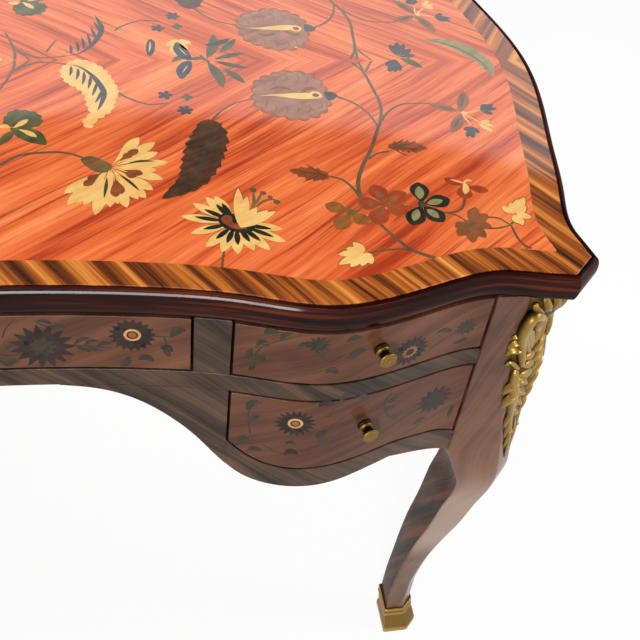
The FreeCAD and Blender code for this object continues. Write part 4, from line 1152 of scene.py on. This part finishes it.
lay("lower_drawer_right", "moss", 0, frontStem([(250, 433), (248, 420), (250, 409), (262, 402)]),
    frontStem([(330, 414), (342, 400), (358, 397), (370, 404)]),
    frontStem([(392, 393), (384, 403), (388, 415), (402, 421)], 2.2),
    frontStem([(262, 444), (276, 452), (290, 454)]), frontStem([(318, 446), (330, 428), (352, 412)]))
lay("lower_drawer_right", "moss", 1, *[frontLeaf(marks, width) for marks, width in (
    ([(247, 410), (251, 403), (259, 401)], 7), ([(248, 424), (253, 418), (260, 416)], 6),
    ([(237, 442), (243, 438), (250, 442)], 8), ([(247, 450), (254, 448), (262, 451)], 7),
    ([(285, 444), (290, 442), (296, 444)], 5), ([(386, 400), (393, 400), (397, 393)], 7),
    ([(383, 408), (391, 408), (397, 404)], 7), ([(388, 417), (396, 415), (402, 410)], 7),
    ([(412, 425), (418, 421), (426, 417)], 8), ([(448, 418), (450, 412), (453, 404)], 6),
    ([(340, 402), (345, 396), (353, 394)], 6), ([(356, 398), (364, 396), (369, 399)], 6),
    ([(318, 440), (321, 434), (328, 430)], 9), ([(318, 448), (323, 443), (331, 442)], 9),
    ([(366, 432), (373, 427), (381, 428)], 8))])
lay("lower_drawer_right", "shade", 2, *star((295.4, 423.8), 20.5, 18, 6.4, 0.62),
    *star((434, 399.5), 21, 13, 8.5, 0.62, 0.2), frontLeaf([(318, 407), (326, 403), (335, 405)], 9),
    frontLeaf([(284, 455), (291, 451), (298, 455)], 8))
lay("lower_drawer_right", "ochre", 3, chordDisc((295.4, 423.6), 7.6))
lay("lower_drawer_right", "shade", 4, chordDisc((295.4, 423.6), 5.0))
lay("lower_drawer_right", "ochreDark", 5, chordDisc((295.4, 423.6), 3.4))
faceWoods = {"moss": ((0.017, 0.015, 0.01), (0.042, 0.031, 0.02), 40),
             "shade": ((0.012, 0.008, 0.007), (0.03, 0.018, 0.014), 40),
             "ochre": ((0.3, 0.15, 0.045), (0.48, 0.26, 0.085), 30),
             "ochreDark": ((0.14, 0.055, 0.018), (0.23, 0.095, 0.032), 30)}


def bentInlays(shapes):
    # each shape as a closed sheet: rows across it, on the front and again under it
    columns = onDrawer["columns"]
    share = np.linspace(0, 1, columns)[None, :, None]
    parts = []
    for shape, lift in shapes:
        rows = len(shape) // 2
        grid = shape[:rows, None] * (1 - share) + shape[rows:][::-1, None] * share
        ring = np.concatenate([grid, grid[:, ::-1]], 1)
        xs, zs = ring[..., 0].ravel(), ring[..., 1].ravel()
        lifts = np.tile(np.repeat([lift, -onDrawer["sink"]], columns), rows)
        part = np.column_stack([xs, frontLine(xs, front["face"]) - lifts, zs])
        parts.append(turnedOutwards(part, cappedFaces(rows, 2 * columns)))
    return gathered(parts)


for wood, colours in faceWoods.items():
    finish = inlayWood(wood + "Face", *colours, shine=facePolish)
    for body in ("centre_drawer", "upper_drawer_right", "lower_drawer_right"):
        chosen = [(shape, onDrawer["lift"] + onDrawer["layer"] * (layer + index % 8 / 10))
                  for index, (owner, name, layer, shape) in enumerate(drawerInlays)
                  if (owner, name) == (body, wood)]
        if not chosen:
            continue
        right = bentInlays(chosen)
        left = mirrorPoints(*right, -1)
        if body == "centre_drawer":
            addPiece(body + "Inlay_" + wood, *gathered([right, left]), finish, body)
            continue
        for (points, faces), owner in ((right, body), (left, body.replace("right", "left"))):
            addPiece(owner + "Inlay_" + wood, points, faces, finish, owner)
print("drawer marquetry laid:", len(drawerInlays), "shapes")


# Legs

leg = {"knee": 440, "ankle": 106, "ankleInset": 58, "postInset": 28, "postWidth": 89.5, "postOffset": -3.5,
       "kneeWidth": 70,
       "ankleWidth": 38, "footWidth": 46, "reach": 16, "kneeCant": 12, "ankleCant": 7, "sole": 5,
       "levels": 150,
       "round": 2.2, "columns": 25, "inner": (19, 24)}
postShares = ((0, 1, 1), (0.19, 1, 1), (0.32, 0.79, 1), (0.48, 0.57, 1), (0.64, 0.5, 1), (0.77, 0.29, 1),
              (0.8, 0.25, 1), (0.855, 0.18, 0.66), (0.92, 0.08, 0.36), (1, 0, 0))
shinShares = ((0.21, 0.21, 0.2), (0.36, 0.37, 0.36), (0.56, 0.64, 0.6), (0.72, 0.82, 0.8),
              (0.86, 0.93, 0.93), (1, 1, 1))
footShares = ((0.42, 0.04, 0.02), (0.7, 0.3, 0.3), (0.88, 0.85, 0.8), (1, 1, 1))


def legRows():
    # height, inset, half width of the corner's face and width of the square at each station: the
    # post, the shin and the foot
    rows = []
    for fall, inset, spread in postShares:
        away = leg["postInset"] * inset
        flush = leg["postOffset"] + plan["cant"] / 2 + away / math.sqrt(2)
        rows.append((front["top"] + (leg["knee"] - front["top"]) * fall, away,
                     leg["kneeCant"] + (flush - leg["kneeCant"]) * spread,
                     leg["kneeWidth"] + (leg["postWidth"] - leg["kneeWidth"]) * spread))
    for fall, inset, slim in shinShares:
        rows.append((leg["knee"] + (leg["ankle"] - leg["knee"]) * fall, leg["ankleInset"] * inset,
                     leg["kneeCant"] + (leg["ankleCant"] - leg["kneeCant"]) * slim,
                     leg["kneeWidth"] + (leg["ankleWidth"] - leg["kneeWidth"]) * slim))
    for fall, reach, spread in footShares:
        rows.append((leg["ankle"] + (leg["sole"] - leg["ankle"]) * fall,
                     leg["ankleInset"] - leg["reach"] * reach, leg["ankleCant"],
                     leg["ankleWidth"] + (leg["footWidth"] - leg["ankleWidth"]) * spread))
    return np.array(rows, float)


def legAt(heights):
    # values of a leg at any heights, on curves that don't overshoot its stations
    rows = legRows()[::-1]
    at = rows[:, 0]
    steps = np.diff(rows, axis=0) / np.diff(at)[:, None]
    product = steps[:-1] * steps[1:]
    total = np.where(product > 0, steps[:-1] + steps[1:], 1)
    slopes = np.vstack([np.zeros(4), np.where(product > 0, 2 * product / total, 0), np.zeros(4)])
    heights = np.clip(heights, at[0], at[-1])
    index = np.clip(np.searchsorted(at, heights, side="right") - 1, 0, len(at) - 2)
    span = (at[index + 1] - at[index])[:, None]
    t = (heights - at[index])[:, None] / span
    start, stop = rows[index], rows[index + 1]
    return (start + (stop - start) * t * t * (3 - 2 * t)
            + t * (1 - t) * ((1 - t) * slopes[index] * span - t * slopes[index + 1] * span))


def cornerMiddle(values):
    # X and Y of the middle of the cut corner's face, for rows of the leg
    inset = values[:, 1] / math.sqrt(2)
    return plan["earX"] - plan["cant"] / 2 - inset, plan["cant"] / 2 - plan["earY"] + inset


def legCorners(values, grow=0.0):
    # the five corners of the section: inner front, two of the cut corner, outer back, inner back
    x, y = cornerMiddle(values)
    cant, width = values[:, 2], values[:, 3]
    side, ahead = x + cant + grow, y - cant - grow
    inner, behind = x + cant - width - grow, y - cant + width + grow
    spare = grow * (2 - math.sqrt(2))
    return np.stack([np.stack([inner, ahead], 1), np.stack([side - 2 * cant - spare, ahead], 1),
                     np.stack([side, ahead + 2 * cant + spare], 1), np.stack([side, behind], 1),
                     np.stack([inner, behind], 1)], 1) + [0, middleY]


def roundedRing(corners, radius, steps=5):
    # each corner of a polygon replaced by a small curve between its two sides
    before = np.roll(corners, 1, axis=1) - corners
    after = np.roll(corners, -1, axis=1) - corners
    before /= np.linalg.norm(before, axis=2, keepdims=True)
    after /= np.linalg.norm(after, axis=2, keepdims=True)
    t = np.linspace(0, 1, steps)[None, None, :, None]
    start, stop = (corners + before * radius)[:, :, None], (corners + after * radius)[:, :, None]
    ring = start * (1 - t) ** 2 + corners[:, :, None] * 2 * t * (1 - t) + stop * t ** 2
    return ring.reshape(len(corners), -1, 2)


def stacked(ring, heights):
    # rings of points in plan, each at its height
    level = np.broadcast_to(heights[:, None, None], ring.shape[:2] + (1,))
    return np.concatenate([ring, level], -1).reshape(-1, 3)


def legMesh():
    # rounded sections stacked from the sole to the frame
    heights = np.linspace(leg["sole"], front["top"] - 0.05, leg["levels"])
    ring = roundedRing(legCorners(legAt(heights)), leg["round"])
    step = np.linalg.norm(np.roll(ring, -1, axis=1) - ring, axis=2)
    girth = np.cumsum(step, axis=1) - step
    uv = np.stack([girth, np.broadcast_to(heights[:, None], girth.shape)], -1).reshape(-1, 2)
    return stacked(ring, heights), cappedFaces(*ring.shape[:2]), uv


legPoints, legFaces, legUv = legMesh()
column = np.arange(len(legFaces)) % leg["columns"]
inward = np.isin(column, leg["inner"]) & (np.arange(len(legFaces)) < len(legFaces) - 2)
# the four corners: signs of X and of the depth, and how their names end
fourCorners = [(x, y, "_%s_%s" % (depthName, sideName)) for x, sideName in ((1, "right"), (-1, "left"))
               for y, depthName in ((1, "front"), (-1, "back"))]
for x, y, place in fourCorners:
    points, faces = mirrorPoints(legPoints, legFaces, x, y)
    piece = addPiece("leg" + place + "Veneered", points, faces, postVeneer, uv=legUv, sharp=60,
                     stands=["leg" + place])
    piece.data.materials.append(innerVeneer)
    piece.data.polygons.foreach_set("material_index", inward.astype(np.int32))
print("legs made")


# Corner mounts, in a plane of their own: s across from the corner's middle, z up, h out of the wood

mount = {
    # bodyHollow: how dark the cast body is painted, as shade under and between its bars and leaves
    "levels": 150, "across": 37, "sink": 1.5, "bodyHollow": 0.72,
    # half the width over which a point turns from the cut corner on to the front or the side
    "soft": 6,
    # height, half width and relief of the cast body
    "body": ((743.3, 37, 12), (736, 38, 18), (724, 36, 22), (712, 33, 20), (703, 33, 10), (695, 38, 6),
             (680, 40, 5), (664, 41, 5), (650, 41, 5.5), (640, 37, 7), (627, 37, 7.5), (612, 32, 7.5),
             (600, 30, 6.5), (588, 29, 6), (574, 28, 6.2), (567, 22, 6.4), (558, 18, 6.4), (546, 13, 6),
             (533, 13, 5.5), (520, 9, 5.5), (509, 9, 5.5), (496, 5.5, 4.6), (480, 3.6, 3), (467, 1.5, 1)),
    # round bars: rows of s, z, h of the middle, half width
    "bars": (((11, 700, 11, 3.4), (8, 694, 11.5, 3.8), (13, 688, 10.5, 4), (20, 694, 10, 4.4),
              (18, 706, 11, 5), (27, 715, 10.5, 6), (36, 720, 8, 6.8), (38.5, 711, 6, 7),
              (38.5, 698, 4.6, 6.8), (36, 684, 4.2, 6.2), (33, 670, 4.6, 5.4),
              (31, 656, 5.4, 4.8), (28, 642, 5.4, 3)),
             ((22, 704, 7, 3.6), (29.5, 707, 5, 5), (29.5, 697, 2.6, 6), (27, 684, 2, 6),
              (22.5, 670, 2.6, 5.4), (16, 656, 4, 4.4), (9, 645, 5, 2.2)),
             ((14, 696, 6, 3.6), (20.5, 700, 4, 5), (20.5, 689, 2, 6), (17, 676, 1.8, 6),
              (11, 662, 2.4, 5.2), (4, 649, 4, 2.6)),
             ((5, 690, 4, 3.6), (11, 692, 3.2, 5), (11.5, 681, 1.6, 6), (8.5, 669, 1.8, 5.8),
              (3, 657, 2.6, 4.4), (-1, 649, 4, 2.2)),
             ((0, 639, 4.2, 4), (12, 646, 4.4, 6), (25, 650, 4, 3.4)),
             ((0, 627, 4.6, 4.4), (12, 634, 4.4, 6.4), (23, 639, 4, 3.8)),
             ((0, 614, 4.6, 4.4), (13, 622, 4.4, 6.6), (28, 628, 3.4, 4)),
             ((33, 640, 2, 3.6), (31, 622, 1.8, 6), (27, 602, 1.4, 7), (22.5, 582, 1.4, 6.4),
              (16, 560, 1.6, 5.4), (11, 538, 1.8, 4.6), (7, 516, 2, 3.8), (3.5, 494, 2, 2.8),
              (1, 470, 0.4, 1.2)),
             ((44, 645, 0.4, 1.8), (41, 652, 1.6, 2.6), (36.5, 649, 3, 3), (31, 640, 3.4, 2.8)),
             ((8.8, 524, 3, 1.4), (7.8, 520, 3.4, 4), (6.8, 516, 3, 1.4))),
    # pointed leaves, ridged along their middle
    "leaves": (((0, 704, 10, 3), (0, 716, 18, 5.4), (0, 731, 20.5, 6), (0, 743, 16, 4.4)),
               ((3, 704, 10, 3), (9, 717, 16.5, 5.2), (13, 731, 18, 6), (14, 743, 13, 4.2)),
               ((5, 705, 9, 3), (16.5, 718, 13.5, 5), (24, 731, 13.5, 5.8), (27.5, 742, 9, 4)),
               ((7, 706, 8, 3), (22, 717, 10, 4.8), (32, 727, 8.6, 5.4), (38, 737, 5, 3.8)),
               ((27, 672, 4.6, 4), (35, 680, 3, 6), (41.5, 680, 1.2, 5), (46, 670, 0, 1.4)),
               ((27, 662, 4.6, 4), (35, 669, 3, 6), (42, 669, 1.2, 5), (46, 660, 0, 1.4)),
               ((34, 684, 3, 3), (41, 690, 1.6, 4), (46, 686, 0, 1.4)),
               ((26, 626, 3, 5), (32, 613, 1.4, 7.4), (36.5, 597, 0, 1.4)),
               ((23, 606, 2.6, 5), (29, 592, 1, 7.6), (33, 573, 0, 1.4)),
               ((28, 620, 4, 5), (17, 612, 4.6, 8), (1, 597, 4, 2)),
               ((25, 602, 3.8, 5), (14, 593, 4.4, 8), (0, 578, 4, 2)),
               ((21, 583, 3.6, 4.8), (11, 574, 4.2, 7.4), (0, 558, 3.8, 1.8)),
               ((15, 563, 3.4, 4.4), (8, 554, 4, 6.4), (0, 538, 3.8, 1.6)),
               ((13, 564, 2.4, 4), (17.5, 549, 1.2, 5.6), (18, 531, 0, 1.2)),
               ((9, 542, 2.4, 3.6), (13, 529, 1.2, 4.6), (13.5, 511, 0, 1.2)),
               ((5.5, 519, 2.2, 3), (8.5, 506, 1.2, 3.8), (8.5, 489, 0, 1)),
               ((0.4, 542, 3, 3), (0.4, 515, 3, 4.6), (0.4, 480, 1.2, 1.2)))}
barSection = np.array([(math.cos(a), math.sin(a)) for a in np.linspace(0, 2 * math.pi, 12, endpoint=False)])
leafSection = np.array([(1, 0), (0.72, 0.42), (0.4, 0.5), (0.12, 0.86), (-0.12, 0.86), (-0.4, 0.5),
                        (-0.72, 0.42), (-1, 0), (-0.7, -0.5), (0.7, -0.5)])


def onCorner(s, z, h):
    # point over the cut corner: along its face, then round on to the front or the side, and out by h
    values = legAt(z)
    half = values[:, 2] * math.sqrt(2)
    x, y = cornerMiddle(values)
    flat = np.minimum(np.abs(s), half) * np.sign(s) / math.sqrt(2)
    past = np.maximum(np.abs(s) - half, 0)
    bend = np.clip((np.abs(s) - half) / (2 * mount["soft"]) + 0.5, 0, 1)
    turn = -math.pi / 4 * (1 + bend * np.sign(s))
    x = x - flat - past * (s > 0) + np.cos(turn) * h
    y = y - flat + past * (s < 0) + np.sin(turn) * h + middleY
    return np.stack([x, y, z], -1)


def castBody():
    # domed section, (1 - u^2.2)^0.6 high, whose width and height follow the rows of the body
    rows = np.array(mount["body"])[::-1]
    z = np.linspace(rows[0, 0], rows[-1, 0], mount["levels"])
    width, relief = np.interp(z, rows[:, 0], rows[:, 1]), np.interp(z, rows[:, 0], rows[:, 2])
    u = np.linspace(-1, 1, mount["across"])
    dome = (1 - np.abs(u) ** 2.2) ** 0.6
    s = np.concatenate([u, u[::-1]])[None] * width[:, None]
    h = np.concatenate([dome, dome * 0])[None] * relief[:, None] - np.repeat([0, mount["sink"]], len(u))
    z = np.broadcast_to(z[:, None], s.shape)
    points = onCorner(s.ravel(), z.ravel(), h.ravel())
    # the whole body painted as shaded, since it lies under the bars and leaves
    return points, cappedFaces(*s.shape), np.full(len(points), mount["bodyHollow"])


def carried(rows, section, steps=5):
    # section carried along a curve over the corner, as wide as the row says
    rows = np.array(rows, float)
    path = np.column_stack([smooth(rows[:, :2], False, steps), smooth(rows[:, 2:], False, steps)])
    middle = onCorner(path[:, 0], path[:, 1], path[:, 2])
    out = onCorner(path[:, 0], path[:, 1], path[:, 2] + 1) - middle
    way = np.gradient(middle, axis=0)
    way /= np.linalg.norm(way, axis=1)[:, None]
    side = np.cross(way, out)
    side /= np.linalg.norm(side, axis=1)[:, None]
    out = np.cross(side, way)
    wide = np.maximum(path[:, 3], 0.3)
    wide[[0, -1]] *= 0.45
    ring = side[:, None] * section[:, :1] + out[:, None] * section[:, 1:]
    points = middle[:, None] + ring * wide[:, None, None]
    # painted shade: each bar and leaf darker on its sides and underside than on its outward face
    hollow = np.tile(np.clip(0.62 - 0.62 * section[:, 1] / section[:, 1].max(), 0, 0.9), len(middle))
    return points.reshape(-1, 3), cappedFaces(len(middle), len(section)), hollow


def cornerMount():
    # the body with every bar and leaf, and their twins on the corner's other side
    parts = [castBody()]
    for section, kind in ((barSection, "bars"), (leafSection, "leaves")):
        for rows in mount[kind]:
            rows = np.array(rows, float)
            parts.append(carried(rows, section))
            if rows[:, 0].max() > 2:
                parts.append(carried(rows * [-1, 1, 1, 1], section))
    points, faces = gathered([turnedOutwards(part, ring) for part, ring, hollow in parts])
    return points, faces, np.concatenate([hollow for part, ring, hollow in parts])


# rows of height and growth: a sole, a plain side and a beaded rim
sabot = {"round": 3, "profile": ((0, 1.4), (0.5, 2.4), (2, 3), (7.5, 3.1), (9.5, 2.9), (11, 2.1), (13, 1.9),
                                 (20, 1.9), (27, 1.9), (34, 1.9), (36, 2.1), (37.5, 2.9), (39, 3.2),
                                 (40.5, 2.9), (42, 2.1), (45, 2.0), (46.5, 2.6), (48, 3.1), (50, 3.1),
                                 (51.5, 2.4), (52, 1.2), (51.7, -1))}


def castShoe():
    # sections of the foot, each grown by its row of the profile and stacked
    profile = np.array(sabot["profile"], float)
    ring = roundedRing(legCorners(legAt(profile[:, 0]), profile[:, 1]), sabot["round"])
    # painted shade: the sunk bands of the profile darker than the beads and rims that stand out
    hollow = np.repeat(np.clip((3.1 - profile[:, 1]) / 3, 0.05, 0.8), ring.shape[1])
    return *turnedOutwards(stacked(ring, profile[:, 0]), cappedFaces(*ring.shape[:2])), hollow


for kind, name, node in ((cornerMount, "cornerMountCast", "corner_mount"),
                         (castShoe, "sabotCast", "sabot")):
    # the hollow values are painted shade for the brass finish
    castPoints, castFaces, castShade = kind()
    for x, y, place in fourCorners:
        points, faces = mirrorPoints(castPoints, castFaces, x, y)
        addPiece(name + place, points, faces, brass, hollow=castShade, sharp=50, stands=[node + place])
print("mounts and shoes made")


# Knobs

# profile: rows of radius and distance from the drawer; tarnish: the same distance and how dark, which is
# painted shade at the base and a painted dark reflection on the neck, partly tarnish
knob = {"steps": 56, "x": 400.5, "rise": 6, "lowerMiddle": 594.5, "profile": (
    (0, 0.3), (7.0, 0.3), (7.4, 0.8), (7.6, 1.6), (7.6, 2.3), (7.2, 3.1), (6.4, 3.7), (6.9, 4.3),
    (7.2, 5.0), (6.9, 5.8), (6.0, 6.4), (5.3, 7.2), (5.0, 8.4), (5.1, 9.8), (5.7, 11.4), (6.8, 13.0),
    (8.0, 14.3), (8.8, 15.2), (9.0, 15.9), (8.9, 16.6), (8.5, 17.1), (7.9, 17.3), (6.4, 17.0), (5.2, 16.8),
    (4.2, 16.9), (3.4, 17.6), (2.8, 17.7), (2.2, 17.2), (1.4, 16.8), (0, 16.7)),
        "tarnish": ((0, 0.95), (3, 0.85), (3.9, 0.95), (5.0, 0.2), (6.4, 0.6), (7.5, 0.9), (13, 0.95),
                    (15, 0.7), (16, 0.3), (18, 0.35))}
upperKnob = (front["row"] + front["top"]) / 2 + knob["rise"]
lowerKnob = knob["lowerMiddle"] + knob["rise"]
knobPlaces = (("centre_drawer", 0.0, upperKnob), ("upper_drawer_right", knob["x"], upperKnob),
              ("upper_drawer_left", -knob["x"], upperKnob), ("lower_drawer_right", knob["x"], lowerKnob),
              ("lower_drawer_left", -knob["x"], lowerKnob))


def turnedKnob(name, x, z):
    # profile turned about the line that stands straight out of the bent front
    profile = np.array(knob["profile"], float)[1:-1]
    turn = np.linspace(0, 2 * math.pi, knob["steps"], endpoint=False)
    angle = float(frontTurn(x, front["face"]))
    out = np.array([math.sin(angle), -math.cos(angle), 0])
    side = np.array([math.cos(angle), math.sin(angle), 0])
    base = np.array([x, float(frontLine(x, front["face"])), z])
    ring = np.cos(turn)[:, None] * side + np.sin(turn)[:, None] * up
    points = base + profile[:, None, :1] * ring + profile[:, None, 1:] * out
    points = np.vstack([points.reshape(-1, 3), base + out * knob["profile"][0][1],
                        base + out * knob["profile"][-1][1]])
    count = knob["steps"]
    low, high, last = len(points) - 2, len(points) - 1, (len(profile) - 1) * count
    faces = tubeFaces(len(profile), count)
    faces += [[low, (i + 1) % count, i] for i in range(count)]
    faces += [[high, last + i, last + (i + 1) % count] for i in range(count)]
    # painted shade and dark reflection along the knob, partly tarnish, then the values of its two ends
    deep = np.repeat(np.interp(profile[:, 1], *zip(*knob["tarnish"])), count)
    hollow = np.concatenate([deep, [0.8, 0.5]])
    return addPiece(name + "KnobTurned", points, faces, brass, name, hollow=hollow, sharp=50,
                    stands=[name + "_knob"])


for name, x, z in knobPlaces:
    turnedKnob(name, x, z)
print("knobs made")


# Finishes of the remaining pieces of the frame

for name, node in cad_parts.items():
    finish = brass if name.startswith(("corner_mount", "sabot")) or name.endswith("_knob") else carcass
    for place in node.material_slots:
        place.material = finish
print("frame dressed")


# Floor, light and camera

def sheetAcross(name, low, high, level, material):
    # flat rectangle between two corners, part of the studio
    mesh = bpy.data.meshes.new(name)
    mesh.from_pydata([(low[0], low[1], level), (high[0], low[1], level), (high[0], high[1], level),
                      (low[0], high[1], level)], [], [(0, 1, 2, 3)])
    mesh.materials.append(material)
    made = placed(name, mesh)


def seenDirectly(tree):
    # 1 for the rays that the camera, a mirror or glass sends out, 0 for the light that falls on things
    path = addNode(tree, "LightPath", {}, {})
    seen = [Wire(tree, path.outputs["Is %s Ray" % kind]) for kind in ("Camera", "Glossy", "Transmission")]
    return seen[0].reckon("MAXIMUM", seen[0], seen[1].reckon("MAXIMUM", seen[1], seen[2]))


def stageFloor():
    # matt pale floor that takes the shadow and is nearly white where it is seen
    finish = Finish("paleFloor")
    speckle = finish.noise(finish.place, 3.0, 2.0)
    colour = finish.ramp(speckle, [(0.3, (0.88, 0.88, 0.88)), (0.7, (0.9, 0.9, 0.9))])
    matt = finish.node("BsdfDiffuse", {}, {0: colour})
    glow = finish.node("Emission", {}, {"Strength": 1.0})
    seen = finish.node("MixShader", {}, {0: seenDirectly(finish.tree) * room["floorGlow"], 1: matt,
                                         2: glow})
    addNode(finish.tree, "OutputMaterial", {}, {0: seen})
    reach = room["floorReach"]
    sheetAcross("floor", (-reach, -reach), (reach, reach), 0, finish.material)


def studioWorld():
    # white wall all round up to a height, a dim ceiling over it, and an even light on things
    world = bpy.data.worlds.new("studio")
    bpy.context.scene.world = world
    world.use_nodes = True
    tree = world.node_tree
    tree.nodes.clear()
    place = addNode(tree, "TexCoord", {}, {})
    x, y, z = axes(tree, Wire(tree, place.outputs["Generated"]))
    wall = z.step(room["wallTop"] + room["wallSoft"], room["wallTop"] - room["wallSoft"])
    seen = seenDirectly(tree)
    strength = seen * (wall * (1 - room["ceiling"]) + room["ceiling"]) + (1 - seen) * room["light"]
    background = addNode(tree, "Background", {}, {"Color": (1.0, 1.0, 1.0), "Strength": strength})
    addNode(tree, "OutputWorld", {}, {0: Wire(tree, background.outputs[0])})


room = {"floorReach": 12, "floorGlow": 0.9, "light": 0.42, "ceiling": 0.02, "wallTop": 0.562,
        "wallSoft": 0.008}
# name, place, aim, size, watts
lamps = (("keyLight", (-0.55, -3.2, 1.35), (0.2, -0.37, 0.77), (0.5, 1.1), 76),
         ("frontLight", (-0.3, -2.2, 3.1), (0.1, -0.2, 0.75), (1.6, 0.5), 16),
         ("sideLight", (2.8, -0.8, 1.9), (0.3, 0, 0.6), (1.0, 1.4), 32),
         ("farLight", (-1.6, 1.7, 3.0), (0, 0, 0.7), (1.8, 1.8), 64))


def turned(thing, right, upward, back, place):
    # sets an object's axes and its place
    turn = np.eye(4)
    turn[:3] = np.column_stack([right, upward, back, place])
    thing.matrix_world = Matrix(turn.tolist())


def addLamp(name, place, target, size, power):
    light = bpy.data.lights.new(name, "AREA")
    light.shape = "RECTANGLE"
    light.size, light.size_y = size
    light.energy = power
    away = np.array(place, float) - np.array(target, float)
    away /= np.linalg.norm(away)
    side = np.cross(up, away)
    side /= np.linalg.norm(side)
    turned(placed(name, light), side, np.cross(away, side), away, place)


def addCamera():
    lens = bpy.data.cameras.new("camera")
    lens.lens = camera["lens"]
    lens.sensor_width = camera["sensor"]
    lens.clip_start = 0.01
    eye = placed("camera", lens)
    turned(eye, camera["right"], -np.array(camera["down"]), -np.array(camera["ahead"]), camera["place"])
    bpy.context.scene.camera = eye


stageFloor()
studioWorld()
for lamp in lamps:
    addLamp(*lamp)
addCamera()
bpy.context.scene.view_settings.view_transform = "Standard"
print("stage set")
